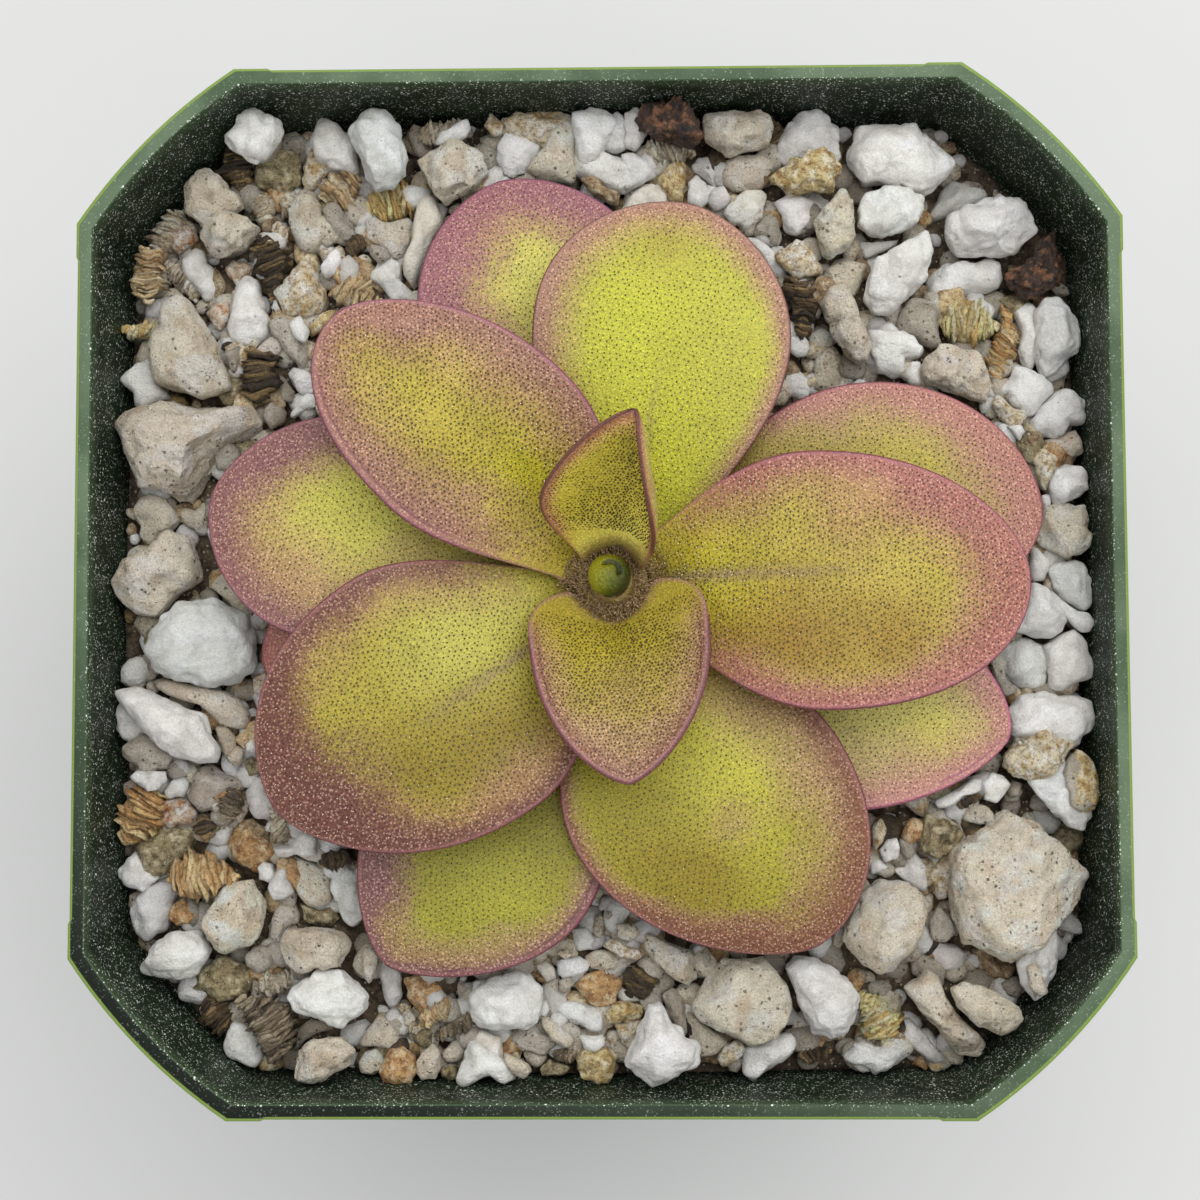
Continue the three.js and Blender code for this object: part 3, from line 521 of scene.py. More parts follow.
# How each leaf is coloured. shade darkens or brightens all of its hues. gland is the size of its glands,
# bare the share of its length that has none at the base, and spacing the distance between them. vein is
# how far its midrib shows, and roll how much its margin is rolled on the left and on the right. blush and
# deep give the width in millimetres of the flushed band, and of the deeper, grainy one, along its left
# side, its right side and its tip. patches are places of one hue, each given as hue, pixel x and y in the
# photograph, radius in pixels and strength.
USUAL_LEAF = dict(gland=0.72, bare=0.06, spacing=0.47, vein=0.0)
LEAF_LOOKS = [{**USUAL_LEAF, **row} for row in [
    # leaf_01: its very pale lime, laid on only at its base, is painted light against the shade on that steep
    # base
    dict(shade=1.0, gland=0.84, bare=0.24, spacing=0.32, roll=(0.5, 0.6), blush=(1.0, 0.8, 1.6),
         deep=(0.5, 0.4, 0.7),
         hues=leaf_hues((206, 188, 76), (252, 238, 128), (176, 160, 54), (206, 164, 98), (176, 116, 80),
                        (150, 102, 80), (92, 52, 44), under=(196, 192, 84)),
         patches=[("olive", 595, 490, 40, 0.4), ("lime", 620, 558, 44, 1.4), ("olive", 615, 440, 38, 0.9)]),
    dict(shade=0.93, gland=0.9, bare=0.1, spacing=0.32, roll=(0.7, 0.7), blush=(2.4, 2.4, 6.0),
         deep=(0.9, 0.9, 1.6),
         hues=leaf_hues((180, 160, 64), (186, 168, 56), (140, 118, 38), (172, 138, 96), (152, 106, 84),
                        (160, 112, 112), (106, 54, 56)),
         patches=[("lime", 600, 650, 35, 0.8), ("lime", 625, 632, 30, 0.7), ("olive", 612, 600, 22, 0.8),
                  ("blush", 640, 690, 40, 0.3), ("blush", 610, 730, 40, 0.4)]),
    dict(shade=1.0, gland=0.92, spacing=0.37, roll=(0.9, 0.2), blush=(4.4, 4.6, 3.6), deep=(2.2, 1.6, 1.7),
         hues=leaf_hues((184, 166, 72), (192, 182, 44), (158, 138, 50), (168, 130, 92), (152, 108, 92),
                        (158, 106, 112), (120, 64, 76)),
         patches=[("lime", 535, 465, 34, 0.9), ("lime", 475, 495, 42, 0.5), ("olive", 430, 465, 60, 0.4),
                  ("lime", 500, 545, 30, 0.5), ("olive", 560, 560, 40, 0.6), ("deep", 400, 318, 36, 0.8)]),
    dict(shade=0.97, gland=0.84, spacing=0.39, vein=0.5, roll=(0.4, 0.5), blush=(3.4, 2.2, 6.4),
         deep=(1.3, 1.5, 3.6),
         hues=leaf_hues((188, 168, 82), (192, 178, 54), (150, 116, 46), (172, 126, 96), (166, 104, 94),
                        (168, 106, 110), (110, 54, 60)),
         patches=[("lime", 700, 545, 38, 0.9), ("lime", 740, 605, 50, 0.8), ("olive", 800, 640, 60, 0.9),
                  ("olive", 900, 640, 48, 0.8), ("olive", 730, 650, 36, 0.6), ("blush", 850, 520, 40, 0.5),
                  ("lime", 945, 560, 22, 0.6), ("deep", 915, 500, 36, 0.6)]),
    dict(shade=0.92, gland=0.84, spacing=0.41, vein=0.42, roll=(0.3, 0.3), blush=(3.0, 3.4, 6.6),
         deep=(1.0, 1.6, 5.0),
         hues=leaf_hues((180, 164, 66), (194, 186, 90), (148, 128, 36), (164, 124, 84), (118, 70, 60),
                        (158, 104, 100), (112, 58, 64)),
         patches=[("lime", 450, 640, 62, 1.0), ("lime", 510, 610, 50, 0.8), ("olive", 470, 760, 62, 1.0),
                  ("olive", 400, 780, 40, 0.7), ("deep", 345, 780, 46, 0.7), ("olive", 530, 740, 40, 0.7),
                  ("blush", 520, 790, 40, 0.6)]),
    dict(shade=0.925, vein=0.3, roll=(0.2, 0.5), blush=(2.9, 1.2, 2.6), deep=(1.2, 0.4, 1.1),
         hues=leaf_hues((192, 188, 76), (202, 202, 66), (172, 156, 66), (180, 144, 102), (170, 124, 104),
                        (172, 128, 112), (116, 72, 62)),
         patches=[("lime", 650, 290, 60, 0.9), ("lime", 655, 470, 50, 1.0), ("lime", 600, 350, 60, 0.5),
                  ("lime", 655, 400, 50, 0.6), ("olive", 665, 232, 46, 0.9), ("olive", 560, 260, 34, 0.5)]),
    dict(shade=0.93, gland=0.75, spacing=0.45, roll=(0.3, 0.2), blush=(5.2, 1.0, 3.8), deep=(1.4, 0.6, 3.2),
         hues=leaf_hues((166, 156, 52), (196, 188, 74), (150, 132, 40), (172, 138, 96), (134, 84, 62),
                        (162, 108, 102), (112, 58, 60)),
         patches=[("lime", 730, 800, 55, 0.7), ("lime", 705, 730, 42, 0.9), ("lime", 770, 760, 40, 0.6),
                  ("blush", 735, 820, 26, 0.5), ("olive", 640, 850, 60, 0.5), ("olive", 760, 700, 34, 0.6),
                  ("lime", 750, 860, 34, 0.5), ("olive", 700, 890, 56, 1.1)]),
    dict(shade=0.94, gland=0.75, spacing=0.45, roll=(0.2, 0.2), blush=(6.0, 4.0, 5.6), deep=(2.0, 2.2, 2.6),
         hues=leaf_hues((204, 192, 96), (208, 202, 96), (176, 158, 80), (178, 142, 102), (142, 94, 94),
                        (160, 106, 112), (120, 64, 78)),
         patches=[("lime", 330, 490, 50, 0.8), ("lime", 400, 545, 50, 0.7), ("blush", 290, 570, 50, 0.5),
                  ("deep", 262, 440, 44, 0.6)]),
    dict(shade=0.94, gland=0.75, spacing=0.45, roll=(0.3, 0.2), blush=(3.0, 2.0, 5.6), deep=(1.5, 1.0, 3.6),
         hues=leaf_hues((178, 158, 86), (192, 176, 80), (160, 134, 72), (180, 144, 108), (178, 120, 110),
                        (176, 114, 112), (122, 66, 70)),
         patches=[("lime", 930, 455, 40, 0.7), ("lime", 880, 440, 40, 0.4), ("olive", 730, 480, 50, 0.8),
                  ("blush", 740, 470, 48, -1.3), ("deep", 740, 470, 48, -1.3)]),
    dict(shade=0.89, roll=(0.9, 0.6), blush=(1.6, 3.4, 3.6), deep=(0.7, 3.0, 0.8),
         hues=leaf_hues((162, 154, 58), (180, 176, 66), (142, 132, 48), (170, 134, 100), (138, 92, 92),
                        (158, 98, 104), (112, 56, 66)),
         patches=[("lime", 500, 900, 45, 0.7), ("lime", 420, 925, 22, 0.5), ("olive", 560, 820, 50, 0.6),
                  ("deep", 375, 880, 34, 1.0)]),
    dict(shade=0.98, roll=(0.3, 0.2), blush=(6.0, 3.0, 4.6), deep=(4.4, 2.4, 3.6),
         hues=leaf_hues((200, 190, 98), (206, 198, 108), (180, 168, 84), (178, 136, 104), (152, 96, 106),
                        (154, 96, 112), (112, 58, 78)),
         patches=[("lime", 540, 260, 50, 0.7)]),
    dict(shade=0.985, roll=(0.4, 1.8), blush=(3.2, 4.4, 4.4), deep=(1.5, 1.9, 1.8),
         hues=leaf_hues((206, 194, 116), (214, 198, 96), (180, 164, 92), (184, 150, 116), (186, 132, 122),
                        (190, 116, 134), (160, 86, 112)),
         patches=[("lime", 935, 750, 34, 0.8), ("blush", 900, 785, 30, 0.4)]),
    dict(shade=0.95, roll=(0.2, 0.2), blush=(3.0, 3.0, 5.0), deep=(1.0, 1.0, 2.0),
         hues=leaf_hues((180, 140, 100), (184, 150, 90), (160, 120, 80), (178, 122, 104), (174, 108, 100),
                        (170, 100, 98), (130, 62, 64)),
         patches=[]),
]]


class Leaf:
    """One leaf's surface. t runs from 0 at the stem to 1 at the tip, s from -1, right, to 1, left."""

    EDGE_ROWS = (90, 160)  # points of the outline that edge_distance measures to, before and after widest
    AT_A_TIME = 2000  # places that it measures in one go, to save memory

    def __init__(self, azimuth, length, left, right, widest, bend, tip, height, rise, fold, fold_right):
        self.round_base = widest < 0.3
        self.azimuth = math.radians(azimuth)
        self.length, self.left, self.right, self.widest = length, left, right, widest
        self.bend, self.tip, self.height = bend, tip, height
        self.rise = [math.radians(a) for a in rise]
        self.fold = [math.radians(a) for a in fold]
        self.fold_right = [math.radians(a) for a in fold_right or fold]

    def half_width(self, t, left):
        """The half width at t on the left side, or on the right where left is false."""
        widest = np.where(left, self.left, self.right)
        base = LEAF_BASE_HALF / widest
        share = np.minimum(t / self.widest, 1)
        if self.round_base:
            inner = base + (1 - base) * (1 - (1 - share) ** 2.4) ** (1 / 1.9)
        else:
            inner = base + (1 - base) * np.sin(np.pi / 2 * share) ** 1.15
        out = np.clip((t - self.widest) / (1 - self.widest), 0, 1)
        outer = np.maximum(0, 1 - out ** self.tip[0]) ** (1 / self.tip[1])
        return widest * np.where(t <= self.widest, inner, outer)

    def drift(self, t):
        """How far the midrib has bent to the left."""
        return self.bend * self.length * t * t

    def point(self, t, s):
        """Points in the middle of the leaf's thickness."""
        low, high = self.rise
        slope = low + (high - low) * t
        left = s > 0
        width = self.half_width(t, left)
        curl = np.where(left, self.fold[0] + (self.fold[1] - self.fold[0]) * t,
                        self.fold_right[0] + (self.fold_right[1] - self.fold_right[0]) * t)
        curl = np.where(np.abs(curl) < 1e-3, 1e-3, curl)
        a = np.abs(s)
        across = width * np.sin(curl * a) / curl
        lift = width * (1 - np.cos(curl * a)) / curl
        clasp = np.minimum(np.abs(across), 0.9 * LEAF_START)
        out = LEAF_START + self.length * (np.sin(slope) - math.sin(low)) / (high - low) - np.sin(slope) * lift
        out = out - (LEAF_START - np.sqrt(LEAF_START ** 2 - clasp ** 2)) * (1 - t) ** 8
        up = self.length * (math.cos(low) - np.cos(slope)) / (high - low) + np.cos(slope) * lift
        side = np.where(left, across, -across) + self.drift(t)
        cos, sin = math.cos(self.azimuth), math.sin(self.azimuth)
        return np.stack([CROWN[0] + out * cos - side * sin, CROWN[1] + out * sin + side * cos,
                         self.height + up], -1)

    def normal(self, t, s):
        before, after = np.maximum(0, t - 0.01), np.minimum(0.985, t + 0.01)
        along = self.point(after, s) - self.point(before, s)
        across = self.point(t, np.minimum(1, s + 0.02)) - self.point(t, np.maximum(-1, s - 0.02))
        n = np.cross(along, across)
        return n / np.maximum(np.linalg.norm(n, axis=-1, keepdims=True), 1e-9)

    def flat(self, t, s):
        """Where a point lies on the leaf laid out flat: along it, and across it."""
        return np.stack([self.length * t, self.half_width(t, s > 0) * s + self.drift(t)], -1)

    def edge_distance(self, t, s):
        """The distance to the margin over the leaf's surface."""
        before, after = self.EDGE_ROWS
        rows = np.concatenate([np.linspace(0, self.widest, before)[:-1], self.tip_rows(after)])
        outline = np.concatenate([self.flat(rows, np.ones_like(rows)),
                                  self.flat(rows[::-1], -np.ones_like(rows))])
        start, step = outline[:-1], np.diff(outline, axis=0)
        places = self.flat(t, s).reshape(-1, 2)
        nearest = np.empty(len(places))
        for at in range(0, len(places), self.AT_A_TIME):
            block = places[at:at + self.AT_A_TIME, None] - start
            along = np.clip((block * step).sum(-1) / np.maximum((step ** 2).sum(-1), 1e-12), 0, 1)
            nearest[at:at + self.AT_A_TIME] = np.sqrt(((block - along[..., None] * step) ** 2).sum(-1)).min(1)
        return nearest.reshape(np.shape(t))

    def tip_rows(self, count):
        """Values of t from the widest place to the tip, closer together as the outline turns."""
        p, q = self.tip
        angle = np.linspace(0, np.pi / 2, count + 1)
        return self.widest + (1 - self.widest) * (1 - np.cos(angle) ** q).clip(0, 1) ** (1 / p)

    def half_thickness(self, t, edge, roll):
        """Half the leaf's thickness; a rolled margin is rounder than a plain one."""
        body = LEAF_THICKNESS / 2 * np.where(t < 0.35, 0.6 + 1.14 * t, 1.22 - 0.62 * t)
        margin = 0.11 + 0.05 * np.minimum(roll, 1)
        round_part = margin * np.sqrt(np.clip(1 - (1 - np.minimum(edge / margin, 1)) ** 2, 0, 1))
        inner = np.maximum(body - margin, 0) * (1 - np.exp(-np.maximum(edge - margin, 0) / 1.5))
        return round_part + inner


def leaf_zones(leaf, look, t, s, edge, points):
    """How strong each hue is at each point of a leaf."""
    left = smooth_step(s, -0.15, 0.15)
    tip = smooth_step(t, 0.6, 0.95)

    def band(widths):
        side = widths[1] + (widths[0] - widths[1]) * left
        return side + (widths[2] - side) * tip

    start = smooth_step(t, 0.05, 0.4)
    wander = 1 + 0.25 * rough_noise(points / 3.5, 3, ZONE_SEED)
    zones = {
        "blush": 1.1 * start * (1 - smooth_step(edge * wander / band(look["blush"]), 0.0, 1.6)),
        "deep": 1.1 * start * (1 - smooth_step(edge * wander / band(look["deep"]), 0.1, 1.8)),
        "lime": np.zeros_like(t), "olive": np.zeros_like(t),
    }
    x, y = to_pixel(points)
    for hue, px, py, radius, strength in look["patches"]:
        zones[hue] = zones[hue] + strength * np.exp(-((x - px) ** 2 + (y - py) ** 2) / radius ** 2)
    across = np.abs(leaf.half_width(t, s > 0) * s)
    zones["vein"] = look["vein"] * 1.5 * np.exp(-(across / 0.5) ** 2) * (1 - smooth_step(t, 0.2, 0.75))
    from_crown = np.hypot(points[..., 0] - CROWN[0], points[..., 1] - CROWN[1])
    zones["fuzz"] = 1.1 * (1 - smooth_step(from_crown, 2.0, 3.9))
    return {key: np.clip(value, 0, 1.4) for key, value in zones.items()}


INNER_ROWS, TIP_ROWS, MIDDLE_COLUMNS = 25, 34, 21  # points along a leaf, before and after widest, and across
MARGIN_STEPS = np.array([0, 0.05, 0.11, 0.18, 0.27, 0.4, 0.62, 1.0])  # more columns, this far inside a margin


def make_leaf(number, leaf, look, material):
    """The closed skin of one leaf, from its base to its tip."""
    rows = np.concatenate([np.linspace(0, leaf.widest, INNER_ROWS)[:-1], leaf.tip_rows(TIP_ROWS)])[:-1]
    columns = []
    for sign in (-1, 1):
        width = leaf.half_width(rows, np.full(len(rows), sign > 0))[:, None]
        columns.append(sign * (1 - MARGIN_STEPS * np.minimum(1, width / 3) / width))
    right, left = columns[0], columns[1][:, ::-1]
    share = np.linspace(0, 1, MIDDLE_COLUMNS + 2)[1:-1]
    # the middle columns follow the width on each side of the midrib
    span = np.concatenate([right[:, -1:] * (1 - 2 * share[None, share < 0.5]),
                           left[:, :1] * (2 * share[None, share >= 0.5] - 1)], 1)
    s = np.concatenate([right, span, left], 1)
    t = np.repeat(rows[:, None], s.shape[1], 1)
    edge = leaf.edge_distance(t, s)
    edge[:, [0, -1]] = 0
    middle, normal = leaf.point(t, s), leaf.normal(t, s)
    roll = np.where(s > 0, *look["roll"]) * smooth_step(t, 0.05, 0.3)
    half = leaf.half_thickness(t, edge, roll)
    tube = 0.11 * roll * np.exp(-((edge - 0.26) / 0.14) ** 2)
    across = leaf.half_width(t, s > 0) * s
    groove = 0.14 * np.exp(-(across / 0.8) ** 2) * (1 - smooth_step(t, 0.3, 0.9))
    waves = 0.09 * rough_noise(middle / 2.6, 4, number) * smooth_step(edge, 0.2, 1.5)
    upper = middle + normal * (half + tube - groove + waves)[..., None]
    lower = middle - normal * (half + 0.3 * waves)[..., None]
    upper[:, [0, -1]] = lower[:, [0, -1]] = middle[:, [0, -1]]
    tip = leaf.point(np.array([1.0]), np.array([0.0]))
    count, wide = s.shape
    size = count * wide
    zones = leaf_zones(leaf, look, t, s, edge, middle)
    crease = np.minimum(1, roll) * np.exp(-((edge - 0.58) / 0.09) ** 2)
    zones.update(edge=edge + 0.2 * smooth_step(t, 0.4, 0.1), crease=crease)
    attributes = {key: np.concatenate([v.ravel(), v.ravel(), v.ravel()[-1:]]) for key, v in zones.items()}
    attributes["edge"][-1] = 0
    attributes["under"] = np.concatenate([np.zeros(size), smooth_step(edge.ravel(), 0.15, 0.5), [0]])
    points = np.concatenate([upper.reshape(-1, 3), lower.reshape(-1, 3), tip])
    points[:, 2] = np.minimum(points[:, 2], CAD_TOP - 0.002)
    # the margin's points belong to both skins
    shared = np.arange(2 * size + 1)
    grid = np.arange(size).reshape(count, wide)
    for column in (0, -1):
        shared[size + grid[:, column]] = grid[:, column]
    faces = [tiles(count, wide), tiles(count, wide, offset=size)[:, ::-1]]
    last, low_last = grid[-1], grid[-1] + size
    first, low_first = grid[0], grid[0] + size
    end = 2 * size
    fan = np.concatenate([
        np.stack([last[:-1], np.full(wide - 1, end), last[1:]], 1),
        np.stack([low_last[1:], np.full(wide - 1, end), low_last[:-1]], 1)])
    back = np.stack([low_first[:-1], first[:-1], first[1:], low_first[1:]], 1)
    faces = [shared[f] for f in (*faces, back, fan)]
    # quads that lost a corner at the margin become triangles
    quads = np.concatenate(faces[:3])
    unequal = (quads != np.roll(quads, 1, 1)).all(1)
    three = np.array([list(dict.fromkeys(quad)) for quad in quads[~unequal] if len(set(quad)) == 3])
    used = np.unique(np.concatenate([quads[unequal].ravel(), three.ravel(), faces[3].ravel()]))
    renumber = np.full(2 * size + 1, -1)
    renumber[used] = np.arange(len(used))
    attributes = {key: values[used] for key, values in attributes.items()}
    pieces = [renumber[quads[unequal]], renumber[np.concatenate([three, faces[3]])]]
    name = f"leaf_{number:02d}"
    add_piece("skin_of_" + name, points[used], pieces, material, attributes, (name,))


# ---- glands -------------------------------------------------------------------------------------

GRID = 0.25  # cell of the height maps
REACH = 39.0  # they cover the pot out to here
CELLS = int(2 * REACH / GRID)
LEAF_BORDER = 5  # glands go on for this many cells under the leaf above
FAR_UNDER_LEAVES = 14  # small grains lie up to this many cells under the leaves


def cell_of(values):
    return np.clip(((np.asarray(values) + REACH) / GRID).astype(int), 0, CELLS - 1)


def shrunk(mask, steps):
    """The mask without a border of so many cells."""
    for _ in range(steps):
        inner = mask.copy()
        for axis in (0, 1):
            for shift in (1, -1):
                inner &= np.roll(mask, shift, axis)
        mask = inner
    return mask


def leaf_cover(leaf):
    """Which cells a leaf covers, and the height of its underside there."""
    t, s = np.meshgrid(np.linspace(0, 1, 420), np.linspace(-1, 1, 260), indexing="ij")
    p = leaf.point(t, s).reshape(-1, 3)
    low = np.full((CELLS, CELLS), np.inf)
    np.minimum.at(low, (cell_of(p[:, 0]), cell_of(p[:, 1])), p[:, 2] - LEAF_THICKNESS / 2)
    return np.isfinite(low), low


GLAND_RADIUS, GLAND_HEIGHT = 0.104, 0.17
GLINT_RADIUS, GLINT_HEIGHT = 0.05, 0.27
GLAND_ROOM = 0.8  # glands stay this much below the CAD's top
GLAND_SPACING = 0.93  # times what a leaf's row gives
GLAND_INSETS = (0.7, 0.32)  # how far glands stay from a margin, rolled or plain
ROLLED = 0.8  # a margin with more roll than this counts as rolled
DARK_GLAND, DARKEST_GLAND, FLUSHED_GLAND = linear((78, 58, 16)), linear((40, 28, 8)), linear((84, 36, 36))
GLINT = linear((244, 228, 200))
DROP_SIDES = 3
DROP_FACES = np.array([[2, 1, 0], [3, 2, 0], [1, 3, 0], [1, 2, 4], [2, 3, 4], [3, 1, 4]])


def spindles(foot, axis, radius, height, hue):
    """Small upright drops: five points each, widest at two thirds of their height."""
    side = np.cross(axis, np.array([0.31, 0.9, 0.3]))
    side /= np.linalg.norm(side, axis=1, keepdims=True)
    other = np.cross(axis, side)
    radius, height = radius[:, None], height[:, None]
    belly = foot + axis * height * 0.66
    around = [belly + radius * (math.cos(turn) * side + math.sin(turn) * other)
              for turn in (2 * math.pi * k / DROP_SIDES for k in range(DROP_SIDES))]
    points = np.stack([foot - axis * 0.05, *around, foot + axis * height], 1)
    faces = DROP_FACES + (DROP_SIDES + 2) * np.arange(len(foot))[:, None, None]
    return points.reshape(-1, 3), faces.reshape(-1, 3), {"tint": np.repeat(hue, DROP_SIDES + 2, 0)}


def make_glands(number, leaf, look, covered, material):
    """The stalked glands on the part of a leaf that no other leaf hides."""
    rng = np.random.default_rng(GLAND_SEED + number)
    gap = GLAND_SPACING * look["spacing"]
    widest = max(leaf.left, leaf.right) + abs(leaf.bend) * leaf.length
    # rows of glands in the flat leaf, every other row shifted by half a gap, and each gland jittered
    u, v = np.arange(0.4, leaf.length, gap * 0.87), np.arange(-widest, widest, gap)
    u, v = np.meshgrid(u, v, indexing="ij")
    v = v + gap / 2 * (np.arange(len(u)) % 2)[:, None]
    u, v = [(w + rng.uniform(-0.24, 0.24, w.shape) * gap).ravel() for w in (u, v)]
    t = np.clip(u / leaf.length, 0, 0.995)
    from_rib = v - leaf.drift(t)
    s = from_rib / np.maximum(leaf.half_width(t, from_rib > 0), 1e-3)
    keep = (np.abs(s) < 0.985) & (t > look["bare"])
    t, s = t[keep], s[keep]
    edge, place = leaf.edge_distance(t, s), leaf.point(t, s)
    roll = np.where(s > 0, *look["roll"])
    free = ~covered[cell_of(place[:, 0]), cell_of(place[:, 1])] & (place[:, 2] < CAD_TOP - GLAND_ROOM)
    keep = (edge > np.where(roll > ROLLED, *GLAND_INSETS)) & free
    t, s, edge, roll, place = [values[keep] for values in (t, s, edge, roll, place)]
    normal = leaf.normal(t, s)
    foot = place + normal * (leaf.half_thickness(t, edge, roll) - 0.02)[:, None]
    axis = normal + rng.normal(0, 0.09, normal.shape)
    axis /= np.linalg.norm(axis, axis=1, keepdims=True)
    count = len(t)
    size = rng.uniform(0.75, 1.2, count) * (0.8 + 0.2 * smooth_step(edge, 0.3, 3)) * look["gland"]
    hue = DARKEST_GLAND + (DARK_GLAND - DARKEST_GLAND) * rng.random((count, 1))
    zones = leaf_zones(leaf, look, t, s, edge, place)
    flushed = np.clip(np.maximum(0.6 * zones["blush"], zones["deep"]), 0, 1)[:, None]
    hue = hue + (FLUSHED_GLAND - hue) * flushed
    # pale drops painted as glints of the light: more of them where the leaf bends down, away from the light
    away = smooth_step(-(normal[:, 0] * 0.6 + normal[:, 1] * 0.8), 0.05, 0.35)
    bright = rng.random(count) < (0.02 + 0.3 * away) * (number > 2)
    parts = [spindles(foot, axis, GLAND_RADIUS * size, GLAND_HEIGHT * size, hue)]
    if bright.any():
        lean = axis[bright] + np.array([-0.35, -0.45, 0.0])
        lean /= np.linalg.norm(lean, axis=1, keepdims=True)
        spot = foot[bright] + np.array([-0.06, -0.07, 0.0])
        pale = np.repeat(GLINT[None], len(spot), 0)
        parts.append(spindles(spot, lean, GLINT_RADIUS * size[bright], GLINT_HEIGHT * size[bright], pale))
    points, faces, attributes = joined(parts)
    name = f"leaf_{number:02d}"
    add_piece("glands_of_" + name, points, [faces], material, attributes)


# ---- grains -------------------------------------------------------------------------------------

